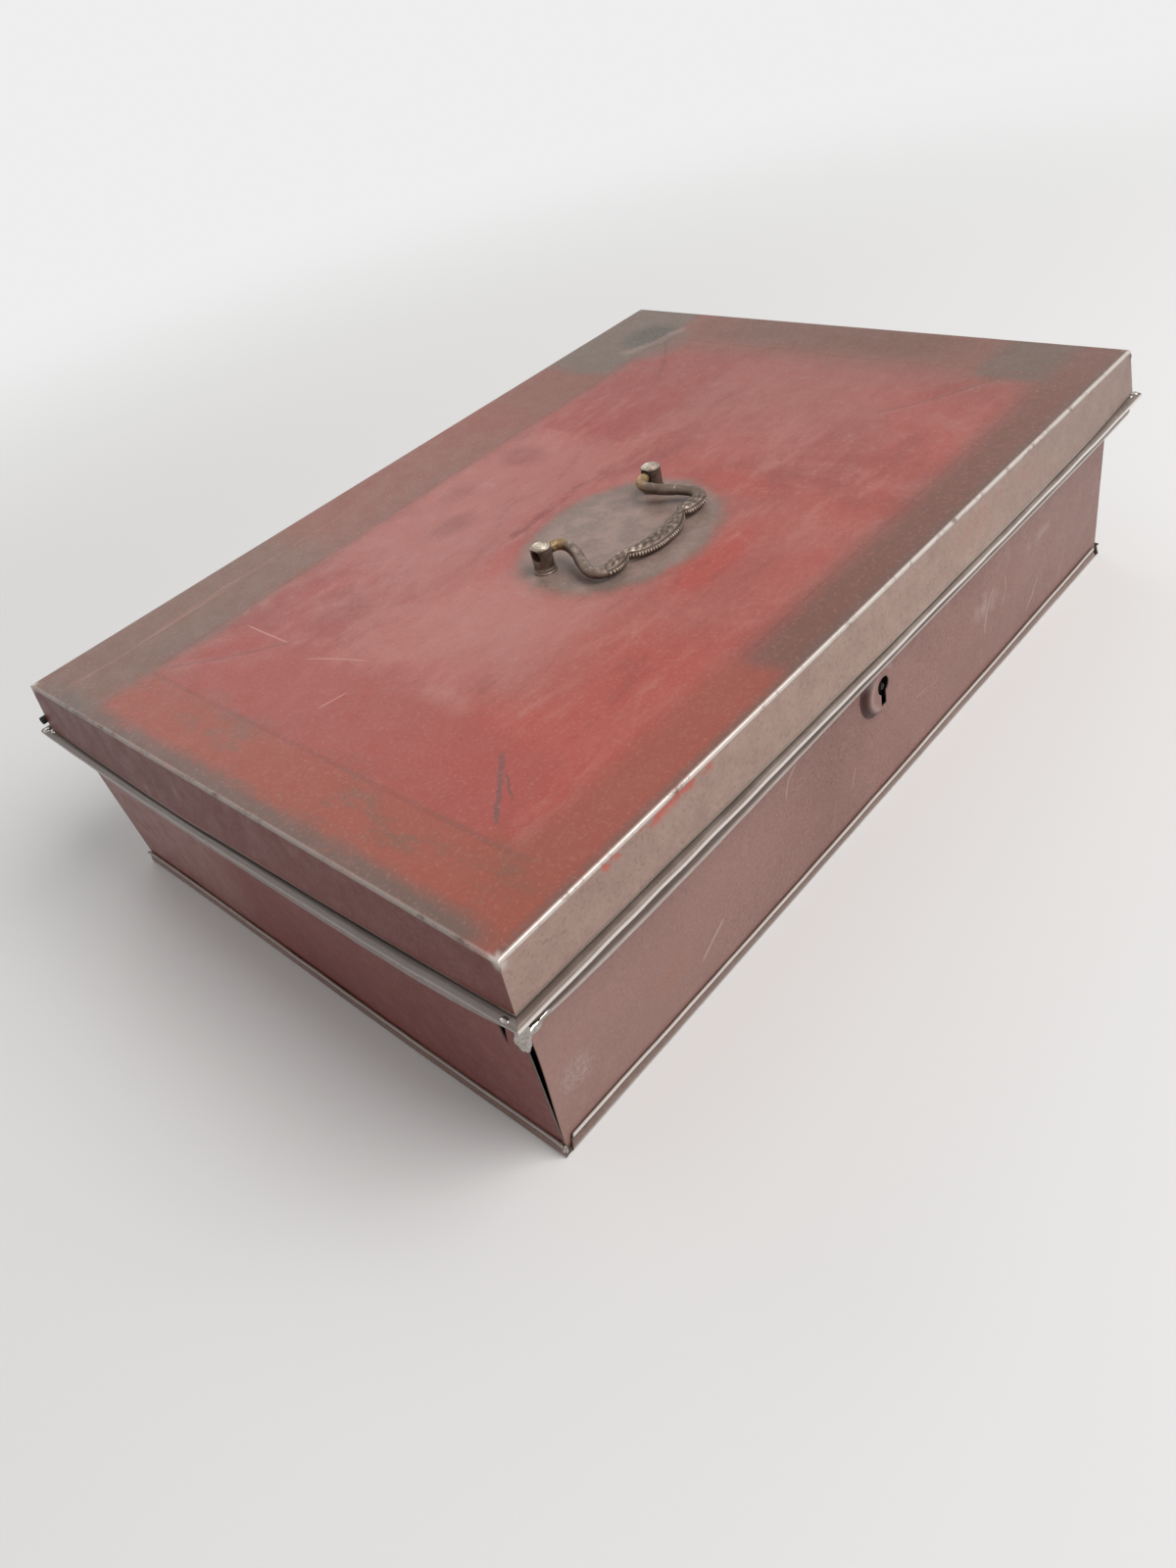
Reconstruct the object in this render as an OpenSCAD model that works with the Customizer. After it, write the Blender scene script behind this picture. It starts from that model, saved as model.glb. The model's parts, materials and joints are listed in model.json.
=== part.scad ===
// Sheet steel deed box: hinged lid, moulded rim, folding bail handle and a lever lock.
// Origin at the middle of the base, on the floor. X runs along the front, -Y is the front, +Z is up.

/* [Sheet] */
// Thickness of the sheet steel
sheet = 0.7; // [0.5:0.1:1.2]

/* [Lid] */
// Length of the lid's top along X
lid_length = 400; // [300:5:520]
// Width of the lid's top along Y
lid_width = 277; // [200:1:380]
// Height of the lid's folded skirts
skirt_height = 19.7; // [14:0.1:30]
// How far the front and end skirts flare outwards at the bottom
skirt_flare = 1.2; // [0:0.1:2.5]

/* [Body] */
// Height of the ledge that the lid closes on
ledge_z = 81.4; // [60:0.1:140]
// Gap between the lid's skirt and the ledge
skirt_gap = 0.6; // [0.4:0.1:2]
// Height of the neck that stands up inside the lid
neck_height = 15.6; // [10:0.1:18]
// How far the neck lies inside the lid's outline
neck_inset = 2.2; // [1.8:0.1:4]
// How far the ledge reaches outside the lid's outline
ledge_reach = 5; // [3:0.1:7]
// Radius of the ledge's rounded nose
nose_r = 1.6; // [1.2:0.1:2.2]
// Depth of the groove under the nose, from the lid's outline outwards
groove_reach = 0.2; // [0:0.1:1]
// Radius of the lower bead
bead_r = 4; // [3:0.1:5]
// Reach of the lower bead outside the lid's outline
bead_reach = 1.6; // [0.5:0.1:2.5]
// How far the end walls lie inside the lid's outline
end_inset = 2.4; // [1.5:0.1:8]
// How far the front and back walls lie inside the lid's outline
side_inset = 6.8; // [4:0.1:9]
// Width of the tabs that the end panels turn in behind the front and back
tab_width = 9; // [6:0.5:14]
// Height of the flange that the bottom pan turns up round the walls
pan_flange = 5; // [3:0.5:10]
// Length left out of the flange at each corner of the front and back
flange_notch = 3; // [1:0.5:8]

/* [Hinge] */
// Radius of the hinge wire
wire_r = 1; // [0.8:0.1:1.2]
// Running clearance between the wire and its knuckles
wire_clearance = 0.05; // [0.02:0.01:0.1]
// Outer radius of the knuckles
knuckle_r = 1.7; // [1.6:0.05:2]
// Thickness of the hinge strips
leaf = 0.6; // [0.5:0.05:0.7]
// Number of knuckles, odd, so that both end ones are on the body
knuckle_count = 15; // [5:2:21]
// Gap between two knuckles
knuckle_gap = 0.4; // [0.3:0.1:1]
// Length of the hinge, less than the lid's by this much at each end
hinge_end_inset = 1.5; // [0.5:0.5:20]
// Height of the strip on the lid's back skirt
lid_strip = 10; // [6:0.5:14]
// Height of the hinge axis above the ledge
hinge_rise = 3.1; // [2.8:0.1:4]
// Clearance between the knuckles and the back skirt
hinge_clearance = 0.35; // [0.3:0.05:0.6]
// How far the wire stops short of the barrel's ends
wire_recess = 4; // [0:0.5:10]

/* [Handle] */
// Distance from the lid's middle to the handle's middle along X
handle_x = -9.5; // [-30:0.5:30]
// Distance from the lid's middle to the handle's pivot line along Y
handle_y = -11.5; // [-40:0.5:40]
// Half the distance between the two posts
post_x = 34.5; // [25:0.5:60]
// Radius of the posts
post_r = 4.2; // [3.5:0.1:6]
// Height of the posts above the lid
post_height = 11.6; // [10:0.1:18]
// Radius of the posts' foot rings
foot_r = 4.8; // [4:0.1:7]
// Height of the bail's pivot above the lid
pivot_height = 7.4; // [6:0.1:10]
// Radius of the bail's pins
pin_r = 2.1; // [1.5:0.05:2.5]
// Running clearance between the pins and the posts' cross holes
pin_clearance = 0.08; // [0.02:0.01:0.1]
// Half thickness of the bail's arms beyond their pins' radius
arm_over_pin = 0.2; // [0.2:0.05:0.8]
// How far the bail's grip reaches from the pivot line
bail_reach = 33; // [24:0.5:60]
// Radius of the posts' riveted shanks
shank_r = 2; // [1.5:0.1:3]
// Outer radius of the roves inside the lid
rove_r = 6; // [4:0.5:10]
// Thickness of the roves
rove_thickness = 1; // [0.6:0.1:2]

/* [Lock] */
// Distance from the middle of the front to the keyhole along X
lock_x = -2; // [-20:0.5:20]
// Height of the boss's middle
boss_z = 54.4; // [30:0.1:100]
// Radius of the pressed boss
boss_r = 12; // [9:0.5:16]
// Height of the boss off the wall
boss_height = 3; // [1:0.1:4]
// Height of the middle of the keyhole's round part above the boss's middle
key_rise = 1.4; // [0:0.1:3]
// Radius of the keyhole's round part
key_r = 3; // [2.5:0.1:4]
// Width of the keyhole's slot
key_slot = 3; // [2:0.1:4]
// Depth of the slot's end below the middle of the round part
key_drop = 7.6; // [5:0.1:9]
// Length of the lock along X
lock_length = 64; // [62:1:80]
// Thickness of the lock's plate
lock_plate_thickness = 1.2; // [0.8:0.1:2]
// Depth of the lock case behind its plate
case_depth = 12; // [12:0.5:16]
// Thickness of the lock case
case_wall = 0.8; // [0.6:0.1:1.2]
// Travel of the bolt
bolt_throw = 7; // [5:0.5:7]
// Thickness of the staple across the bolt's way
staple_thickness = 2; // [1.5:0.1:2.5]

/* [Hidden] */

// Smoothness of round parts, and steps on the rim's arcs
$fn = 48;
arc_steps = 8;
// A cut goes this far past the face that it opens
cut = 1;

// Half sizes of the lid's outline
half_x = lid_length / 2;
half_y = lid_width / 2;
// Heights of the lid
skirt_z = ledge_z + skirt_gap;
lid_z = skirt_z + skirt_height;
lid_under = lid_z - sheet;
// Faces of the walls
wall_x = half_x - end_inset;
wall_y = half_y - side_inset;
neck_top = ledge_z + neck_height;
// Heights along the rim
nose_z = ledge_z - nose_r;
groove_z = ledge_z - 2 * nose_r;
bead_x = bead_reach - bead_r;
bead_top_angle = acos((groove_reach - bead_x) / bead_r);
// Height of the groove's upright below the nose, and the angle at which the bead ends below
groove_height = 1.4;
bead_low_angle = -60;
bead_z = groove_z - groove_height - bead_r * sin(bead_top_angle);
bead_low_z = bead_z + bead_r * sin(bead_low_angle);
bead_low_x = bead_x + bead_r * cos(bead_low_angle);
// Drop of the slope between the bead and the wall for each mm inwards, and how much higher its
// inner face meets the wall's for each mm of thickness
wall_slope = 0.7;
wall_lift = sqrt(1 + wall_slope * wall_slope) - wall_slope;
// The end panels' tabs start this far above the base, and end this far above the boss's middle
tab_low = 2 * sheet;
tab_high = 4;

// Hinge
hinge_y = half_y + knuckle_r + hinge_clearance;
hinge_z = ledge_z + hinge_rise;
hinge_length = lid_length - 2 * hinge_end_inset;
knuckle_pitch = (hinge_length + knuckle_gap) / knuckle_count;
strip_clearance = 0.4;

// Handle
arm_r = pin_r + arm_over_pin;
grip_gap = 0.3;
bail_drop = pivot_height - arm_r - grip_gap;
bail_tilt = asin(bail_drop / bail_reach);
bail_sides = 10;
bail_steps = 3;
// Gap between the bail's arms and the posts, and how far a pin reaches past the post's middle and
// back into the arm
arm_gap = 0.8;
pin_past = 0.8;
pin_root = 1.8;
// Post: height of the foot ring, height and depth of the groove above it, heights and depths of
// the head's chamfer and crown, the cross hole's flared mouth, and the riveted end of the shank
foot_height = 0.9;
foot_groove = 0.6;
foot_groove_depth = 0.2;
chamfer_height = 0.8;
chamfer_depth = 0.5;
crown_height = 0.6;
crown_depth = 2;
mouth_depth = 1;
mouth_flare = 1.2;
rivet_end_height = 0.8;
rivet_end_flare = 1;

// Radius of the boss's flat summit
boss_flat = boss_r / 2;

// Lock, in places worked out from the wall, the keyhole and the plate
key_z = boss_z + key_rise;
plate_y = -wall_y + sheet;
plate_face = plate_y + lock_plate_thickness;
case_y = plate_face + case_depth;
case_low = key_z - 18;
case_top = key_z + 23;
case_left = lock_x - lock_length / 2;
// How far the case's cup stands in from the plate's edges, and its rivets' places, shanks and heads
case_inset = 5.2;
case_rivet_inset = 2.6;
case_rivet_r = 1.2;
rivet_head = 0.9;
rivet_head_height = 0.8;
// Clearance of the staple in the case's slot, and of the bolt's tongue in the staple's window
staple_slot = 0.8;
staple_window_gap = 0.8;
bolt_thickness = 1.6;
bolt_gap = 0.3;
bolt_face = plate_face + bolt_gap + bolt_thickness;
bolt_low = key_z + 1.9;
bolt_height = 6.5;
// Bolt: length past the left stud, length past the keyhole, width of the head, notch for the key,
// ends of the slot past the studs, and how near the head and the tongue come to the staple
bolt_tail = 3;
bolt_key_end = 8;
bolt_head = 6;
key_notch = 6;
key_notch_depth = 2.4;
slot_end = 0.3;
head_stop = 0.5;
tongue_stop = 2;
stud_r = 1.2;
stud_clearance = 0.05;
stud_z = bolt_low + bolt_height / 2;
stud_places = [-14.5, -7.5];
stud_head = 0.9;
stud_head_gap = 0.3;
stud_head_height = 0.7;
tongue_z = key_z + 14.2;
tongue_height = 4.5;
tongue_depth = 3;
staple_middle = plate_face + 7;
staple_width = 6.8;
staple_window = 4.6;
staple_tip = key_z + 11.2;
staple_foot = 12;
staple_foot_thickness = 1.5;
staple_foot_back = 6;
lever_gap = 0.4;
lever_thickness = 0.9;
lever_face = bolt_face + lever_gap;
lever_pivot_x = lock_x + 20;
lever_pivot_z = key_z + 5;
lever_height = 5;
// Lever: radius round its stud, how far it reaches past the keyhole, and how much its lower edge is
// raised; then the end of its stud, and the spring's thickness, gap and height below the case's top
lever_hub = 3;
lever_past = 4;
lever_belly = 1;
lever_stud_end = 0.6;
spring_thickness = 0.35;
spring_gap = 0.3;
spring_drop = 6;
spring_tip = 8;
// Key pin: its radius, and how far its end lies inside the boss's outer face
key_pin_r = 1.2;
key_pin_inside = 0.5;

// Points of an arc in a plane, from one angle to another
function arc(cx, cy, r, from, to) =
    [for (i = [0:arc_steps]) let (a = from + (to - from) * i / arc_steps)
        [cx + r * cos(a), cy + r * sin(a)]];

// One face of the rim and wall as [distance outside the lid's outline, height], from the top down,
// moved inwards by t, for a wall that lies inset inside the outline
function rim_face(inset, t) = let (
        groove = groove_reach - t,
        top_angle = acos((groove - bead_x) / (bead_r - t)))
    concat(
        [[-neck_inset - t, neck_top], [-neck_inset - t, ledge_z - t]],
        arc(ledge_reach - nose_r, nose_z, nose_r - t, 90, -90),
        [[groove, groove_z + t]],
        arc(bead_x, bead_z, bead_r - t, top_angle, bead_low_angle),
        [[-inset - t, bead_low_z - wall_slope * (inset + bead_low_x) + wall_lift * t],
         [-inset - t, sheet]]);

function reversed(list) = [for (i = [len(list) - 1:-1:0]) list[i]];

// The bent sheet's own section, and the filled section between two opposite sheets
module rim_sheet(half, inset) {
    points = concat(rim_face(inset, 0), reversed(rim_face(inset, sheet)));
    polygon([for (p = points) [half + p[0], p[1]]]);
}
module rim_filled(half, inset, t) {
    face = rim_face(inset, t);
    right = [for (p = face) [half + p[0], p[1]]];
    left = [for (p = reversed(face)) [-half - p[0], p[1]]];
    polygon(concat(right, left));
}

// Sections drawn in XZ run along Y, and sections drawn in YZ run along X
module along_y(length) {
    rotate([90, 0, 0])
        linear_extrude(height = length, center = true)
            children();
}
module along_x(length) {
    rotate([90, 0, 90])
        linear_extrude(height = length, center = true)
            children();
}

// A box between two corners
module block(low, high) {
    translate(low)
        cube(high - low);
}

// A cylinder along Y, from one y to another
module rod_y(x, z, r, y0, y1) {
    translate([x, y0, z])
        rotate([-90, 0, 0])
            cylinder(h = y1 - y0, r = r);
}

// The lid's closed outline at one height: flared at the front and the ends, upright at the back
module lid_block(t, low, high) {
    slope = skirt_flare / skirt_height;
    intersection() {
        along_y(2 * lid_width)
            polygon([
                [-half_x + t - slope * (lid_z - low), low],
                [half_x - t + slope * (lid_z - low), low],
                [half_x - t + slope * (lid_z - high), high],
                [-half_x + t - slope * (lid_z - high), high]]);
        along_x(2 * lid_length)
            polygon([
                [-half_y + t - slope * (lid_z - low), low],
                [half_y - t, low],
                [half_y - t, high],
                [-half_y + t - slope * (lid_z - high), high]]);
    }
}

// Lid: one sheet folded down on four sides, pierced for the handle's shanks
module lid_shell() {
    color([0.55, 0.3, 0.26])
        difference() {
            lid_block(0, skirt_z, lid_z);
            lid_block(sheet, skirt_z - cut, lid_under);
            for (side = [-1, 1])
                translate([handle_x + side * post_x, handle_y, lid_under - cut])
                    cylinder(h = sheet + 2 * cut, r = shank_r);
        }
}

// Staple: a foot under the lid's top and a plate with a window for the bolt
module lid_staple() {
    front_y = staple_middle - staple_width / 2;
    back_y = staple_middle + staple_width / 2;
    color([0.45, 0.43, 0.4])
        difference() {
            union() {
                block([lock_x - staple_foot / 2, front_y, lid_under - staple_foot_thickness],
                      [lock_x + staple_foot / 2, back_y + staple_foot_back, lid_under]);
                block([lock_x - staple_thickness / 2, front_y, staple_tip],
                      [lock_x + staple_thickness / 2, back_y, lid_under]);
            }
            block([lock_x - staple_thickness, staple_middle - staple_window / 2,
                   tongue_z - staple_window_gap],
                  [lock_x + staple_thickness, staple_middle + staple_window / 2,
                   tongue_z + tongue_height + staple_window_gap]);
        }
}

// Middle line of the bail's right half in its own plane, from the post to the middle of the grip,
// as [x, y, half width]: the neck comes off the pin and drops outwards to the bend, then the grip
// runs back through an outer lobe and a waist to half of the middle lobe
neck_drop = 6;
bend_drop = bail_reach - 10.4;
lobe_half = post_x - 17.5;
function arm_y(share) = -neck_drop - (bend_drop - neck_drop) * share;
bail_line = [
    [post_x - post_r - arm_gap, 0, arm_r],
    [post_x - 7.6, -0.7, arm_r],
    [post_x - 9.3, -2.8, arm_r],
    [post_x - 9.5, -neck_drop, arm_r],
    [post_x - 7.6, arm_y(1 / 3), arm_r],
    [post_x - 4.2, arm_y(2 / 3), arm_r],
    [post_x - 1.8, arm_y(1), arm_r * 1.05],
    [post_x - 2.4, -bail_reach + 6.6, arm_r * 1.1],
    [post_x - 6, -bail_reach + 4.2, arm_r * 1.15],
    [post_x - 11.5, -bail_reach + 4, arm_r * 1.2],
    [lobe_half, -bail_reach + 4.2, arm_r * 0.9],
    [lobe_half * 0.68, -bail_reach + 2.1, arm_r * 1.25],
    [lobe_half * 0.35, -bail_reach + 0.4, arm_r * 1.4]];
bail_mirror = [for (p = bail_line) [-p[0], p[1], p[2]]];
bail_points = concat(bail_line, [[0, -bail_reach, arm_r * 1.45]], reversed(bail_mirror));

// A smooth curve through a list of points, at t from 0 to 1 between points i and i + 1
function spline(p, i, t) = let (
        last = len(p) - 1,
        a = p[max(i - 1, 0)],
        b = p[i],
        c = p[i + 1],
        d = p[min(i + 2, last)])
    0.5 * (2 * b + (c - a) * t + (2 * a - 5 * b + 4 * c - d) * t * t
        + (3 * b - a - 3 * c + d) * t * t * t);

bail_path = concat(
    [for (i = [0:len(bail_points) - 2], k = [0:bail_steps - 1])
        spline(bail_points, i, k / bail_steps)],
    [bail_points[len(bail_points) - 1]]);

// One oval ring of the bail, square to its path
function bail_ring(i) = let (
        p = bail_path[i],
        before = bail_path[max(i - 1, 0)],
        after = bail_path[min(i + 1, len(bail_path) - 1)],
        run = [after[0] - before[0], after[1] - before[1]],
        side = [-run[1], run[0]] / norm(run))
    [for (k = [0:bail_sides - 1]) let (a = 360 * k / bail_sides)
        [p[0] + side[0] * p[2] * cos(a), p[1] + side[1] * p[2] * cos(a), arm_r * sin(a)]];

module bail_bar() {
    rings = len(bail_path);
    points = [for (i = [0:rings - 1]) each bail_ring(i)];
    walls = [for (i = [0:rings - 2], k = [0:bail_sides - 1])
        let (next = (k + 1) % bail_sides, here = i * bail_sides, there = here + bail_sides)
        [here + k, there + k, there + next, here + next]];
    first = [for (k = [0:bail_sides - 1]) k];
    last = [for (k = [bail_sides - 1:-1:0]) (rings - 1) * bail_sides + k];
    polyhedron(points, concat([first], walls, [last]));
}

// Bail: lies folded towards the front, its pins in the posts and its grip on the lid
module handle_bail() {
    color([0.42, 0.37, 0.3])
        translate([handle_x, handle_y, lid_z + pivot_height])
            rotate([bail_tilt, 0, 0]) {
                bail_bar();
                for (side = [-1, 1])
                    translate([side * (post_x - post_r - arm_gap - pin_root), 0, 0])
                        rotate([0, side * 90, 0])
                            cylinder(h = post_r + arm_gap + pin_root + pin_past, r = pin_r);
            }
}

// Handle post: foot ring, body with a cross hole, a domed head, and a shank riveted over the rove
module handle_post(side) {
    crown_z = post_height - crown_height;
    chamfer_z = crown_z - chamfer_height;
    shank_z = -sheet - rove_thickness;
    hole_r = pin_r + pin_clearance;
    color([0.5, 0.46, 0.38])
        translate([handle_x + side * post_x, handle_y, lid_z])
            difference() {
                union() {
                    cylinder(h = foot_height, r = foot_r);
                    translate([0, 0, foot_height])
                        cylinder(h = foot_groove, r = post_r - foot_groove_depth);
                    translate([0, 0, foot_height + foot_groove])
                        cylinder(h = chamfer_z - foot_height - foot_groove, r = post_r);
                    translate([0, 0, chamfer_z])
                        cylinder(h = chamfer_height, r1 = post_r, r2 = post_r - chamfer_depth);
                    translate([0, 0, crown_z])
                        cylinder(h = crown_height, r1 = post_r - chamfer_depth, r2 = post_r - crown_depth);
                    translate([0, 0, shank_z])
                        cylinder(h = -shank_z, r = shank_r);
                    translate([0, 0, shank_z - rivet_end_height])
                        cylinder(h = rivet_end_height, r1 = shank_r, r2 = shank_r + rivet_end_flare);
                }
                translate([0, 0, pivot_height])
                    rotate([0, 90, 0])
                        cylinder(h = 2 * foot_r + 2 * cut, r = hole_r, center = true);
                translate([side * (post_r - mouth_depth), 0, pivot_height])
                    rotate([0, side * 90, 0])
                        cylinder(h = 2 * mouth_depth, r1 = hole_r, r2 = hole_r + mouth_flare);
            }
}
module handle_post_left() {
    handle_post(-1);
}
module handle_post_right() {
    handle_post(1);
}

// Roves: the two washers that the posts are riveted over, inside the lid
module handle_roves() {
    color([0.5, 0.48, 0.45])
        for (side = [-1, 1])
            translate([handle_x + side * post_x, handle_y, lid_under - rove_thickness])
                difference() {
                    cylinder(h = rove_thickness, r = rove_r);
                    translate([0, 0, -cut])
                        cylinder(h = rove_thickness + 2 * cut, r = shank_r);
                }
}

// Left end of knuckle i, and its length
function knuckle_x(i) = -hinge_length / 2 + i * knuckle_pitch;
knuckle_length = knuckle_pitch - knuckle_gap;

// A run of knuckles along X, round the hinge axis, every second one from the first
module barrel(first, r) {
    for (i = [first:2:knuckle_count - 1])
        translate([knuckle_x(i), hinge_y, hinge_z])
            rotate([0, 90, 0])
                cylinder(h = knuckle_length, r = r);
}
module wire_bore() {
    translate([0, hinge_y, hinge_z])
        rotate([0, 90, 0])
            cylinder(h = hinge_length + 2 * cut, r = wire_r + wire_clearance, center = true);
}

// Hinge leaf of the lid: a strip on the back skirt, with a tongue down to each knuckle
module hinge_lid_leaf() {
    strip_low = hinge_z + knuckle_r + strip_clearance;
    color([0.4, 0.38, 0.35])
        difference() {
            union() {
                block([-hinge_length / 2, half_y, strip_low],
                      [hinge_length / 2, half_y + leaf, hinge_z + lid_strip]);
                for (i = [1:2:knuckle_count - 1])
                    block([knuckle_x(i), half_y, hinge_z],
                          [knuckle_x(i) + knuckle_length, half_y + leaf, strip_low]);
                barrel(1, knuckle_r);
            }
            wire_bore();
        }
}

// Hinge leaf of the body: a strip on the ledge, with a riser up to each knuckle; the strip's edge
// lies under the risers, inside their outer face
module hinge_body_leaf() {
    riser_y = hinge_y + knuckle_r;
    strip_edge = riser_y - hinge_clearance;
    color([0.4, 0.38, 0.35])
        difference() {
            union() {
                block([-hinge_length / 2, half_y + leaf + strip_clearance, ledge_z],
                      [hinge_length / 2, strip_edge, ledge_z + leaf]);
                for (i = [0:2:knuckle_count - 1])
                    block([knuckle_x(i), riser_y - leaf, ledge_z],
                          [knuckle_x(i) + knuckle_length, riser_y, hinge_z]);
                barrel(0, knuckle_r);
            }
            wire_bore();
        }
}

// Hinge wire: runs through all the knuckles and stops short of the barrel's open ends
module hinge_wire() {
    color([0.6, 0.6, 0.6])
        translate([0, hinge_y, hinge_z])
            rotate([0, 90, 0])
                cylinder(h = hinge_length - 2 * wire_recess, r = wire_r, center = true);
}

// Side panel at the front, between the end panels
module long_panel() {
    intersection() {
        mirror([0, 1, 0])
            along_x(2 * lid_length)
                rim_sheet(half_y, side_inset);
        along_y(2 * lid_width)
            rim_filled(half_x, end_inset, sheet);
    }
}

// The pressed boss, as a solid of the given height from the wall's outer face, r smaller all round
module boss(t) {
    translate([lock_x, -wall_y, boss_z])
        rotate([90, 0, 0])
            rotate_extrude()
                polygon([
                    [0, -sheet],
                    [boss_r - t, -sheet],
                    for (i = [0:arc_steps]) let (a = 90 * i / arc_steps)
                        [boss_flat - t + (boss_r - boss_flat) * cos(a), boss_height * sin(a) - t],
                    [0, boss_height - t]]);
}

// The keyhole's outline, cut along Y from one y to another
module keyhole(y0, y1) {
    rod_y(lock_x, key_z, key_r, y0, y1);
    block([lock_x - key_slot / 2, y0, key_z - key_drop],
          [lock_x + key_slot / 2, y1, key_z]);
}

// Front panel: the sheet with its rim, the boss pressed out of it and the keyhole in the boss
module front_panel() {
    color([0.5, 0.42, 0.4])
        difference() {
            union() {
                difference() {
                    long_panel();
                    rod_y(lock_x, boss_z, boss_r - sheet, -wall_y - cut, -wall_y + 2 * cut);
                }
                difference() {
                    boss(0);
                    boss(sheet);
                }
            }
            keyhole(-wall_y - boss_height - cut, -wall_y + cut);
        }
}

module back_panel() {
    color([0.46, 0.4, 0.38])
        mirror([0, 1, 0])
            long_panel();
}

// Turns a piece drawn at the back right corner to another corner
module at_corner(side, end) {
    mirror([side < 0 ? 1 : 0, 0, 0])
        mirror([0, end < 0 ? 1 : 0, 0])
            children();
}

// End panel: the sheet with its rim, and a tab turned in behind the front and the back
module end_panel(side) {
    color([0.4, 0.33, 0.31])
        union() {
            intersection() {
                mirror([side < 0 ? 1 : 0, 0, 0])
                    along_y(2 * lid_width)
                        rim_sheet(half_x, end_inset);
                along_x(2 * lid_length)
                    rim_filled(half_y, side_inset, 0);
            }
            for (end = [-1, 1])
                at_corner(side, end)
                    block([wall_x - sheet - tab_width, wall_y - 2 * sheet, tab_low],
                          [wall_x - sheet, wall_y - sheet, boss_z + tab_high]);
        }
}

module left_end_panel() {
    end_panel(-1);
}
module right_end_panel() {
    end_panel(1);
}

// Bottom pan: the floor of the box, turned up round the walls, the long flanges notched at the
// corners
module bottom_pan() {
    pan_x = wall_x + sheet;
    pan_y = wall_y + sheet;
    color([0.45, 0.42, 0.4])
        difference() {
            block([-pan_x, -pan_y, 0], [pan_x, pan_y, pan_flange]);
            block([-wall_x, -wall_y, sheet], [wall_x, wall_y, pan_flange + cut]);
            for (side = [-1, 1], end = [-1, 1])
                at_corner(side, end)
                    block([pan_x - flange_notch, wall_y, sheet],
                          [wall_x, pan_y + cut, pan_flange + cut]);
        }
}

// The four corners of the lock where its case is riveted on
module lock_corners() {
    for (x = [case_left + case_rivet_inset, case_left + lock_length - case_rivet_inset],
         z = [case_low + case_rivet_inset, case_top - case_rivet_inset])
        translate([x, 0, z])
            children();
}

// Lock plate: against the inside of the front, with the keyhole through it
module lock_plate() {
    color([0.5, 0.47, 0.42])
        difference() {
            block([case_left, plate_y, case_low],
                  [case_left + lock_length, plate_face, case_top]);
            keyhole(plate_y - cut, plate_face + cut);
            lock_corners()
                rod_y(0, 0, case_rivet_r, plate_y - cut, plate_face + cut);
        }
}

// Lock case: a pressed cup over the works, with feet on the plate and a slot for the staple
module lock_case() {
    low = [case_left + case_inset, plate_face, case_low + case_inset];
    high = [case_left + lock_length - case_inset, case_y, case_top];
    slot = staple_thickness / 2 + staple_slot;
    color([0.48, 0.45, 0.4])
        difference() {
            union() {
                block(low, high);
                block([case_left, plate_face, case_low],
                      [case_left + lock_length, plate_face + case_wall, case_top]);
            }
            block([low[0] + case_wall, plate_face - cut, low[2] + case_wall],
                  [high[0] - case_wall, case_y - case_wall, case_top - case_wall]);
            block([lock_x - slot, staple_middle - staple_width / 2 - 2 * staple_slot, case_top - 2 * cut],
                  [lock_x + slot, case_y - case_wall, case_top + cut]);
            lock_corners()
                rod_y(0, 0, case_rivet_r, plate_face - cut, plate_face + case_wall + cut);
        }
}

// Rivets: hold the case's feet to the plate
module lock_rivets() {
    color([0.55, 0.5, 0.42])
        lock_corners() {
            rod_y(0, 0, case_rivet_r, plate_y, plate_face + case_wall);
            rod_y(0, 0, case_rivet_r + rivet_head,
                plate_face + case_wall, plate_face + case_wall + rivet_head_height);
        }
}

// Bolt, drawn back: a tail on two studs, with a notch for the key, and a tongue for the staple
module lock_bolt() {
    back = plate_face + bolt_gap;
    tail_left = lock_x + stud_places[0] - bolt_throw - bolt_tail;
    staple_left = lock_x - staple_thickness / 2;
    head_right = staple_left - bolt_throw - head_stop;
    head_left = head_right - bolt_head;
    tongue_top = tongue_z + tongue_height;
    tongue_back = staple_middle + tongue_depth / 2;
    color([0.6, 0.56, 0.46])
        difference() {
            union() {
                block([tail_left, back, bolt_low],
                      [lock_x + bolt_key_end, bolt_face, bolt_low + bolt_height]);
                block([head_left, back, bolt_low], [head_right, bolt_face, tongue_top]);
                block([head_left, back, tongue_z], [head_right, tongue_back, tongue_top]);
                block([head_left, staple_middle - tongue_depth / 2, tongue_z],
                      [staple_left - tongue_stop, tongue_back, tongue_top]);
            }
            block([lock_x + stud_places[0] - bolt_throw - stud_r - slot_end, back - cut,
                   stud_z - stud_r - stud_clearance],
                  [lock_x + stud_places[1] + stud_r + slot_end, bolt_face + cut,
                   stud_z + stud_r + stud_clearance]);
            block([lock_x - key_notch / 2, back - cut, bolt_low - cut],
                  [lock_x + key_notch / 2, bolt_face + cut, bolt_low + key_notch_depth]);
        }
}

// Lever: turns on its stud behind the bolt, its belly just above the key
module lock_lever() {
    lever_left = lock_x - lever_past;
    lever_low = lever_pivot_z - lever_height / 2 + lever_belly;
    color([0.62, 0.58, 0.46])
        difference() {
            union() {
                block([lever_left, lever_face, lever_low],
                      [lever_pivot_x, lever_face + lever_thickness, lever_pivot_z + lever_height / 2]);
                rod_y(lever_pivot_x, lever_pivot_z, lever_hub, lever_face, lever_face + lever_thickness);
            }
            rod_y(lever_pivot_x, lever_pivot_z, stud_r + stud_clearance,
                lever_face - cut, lever_face + lever_thickness + cut);
        }
}

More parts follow.
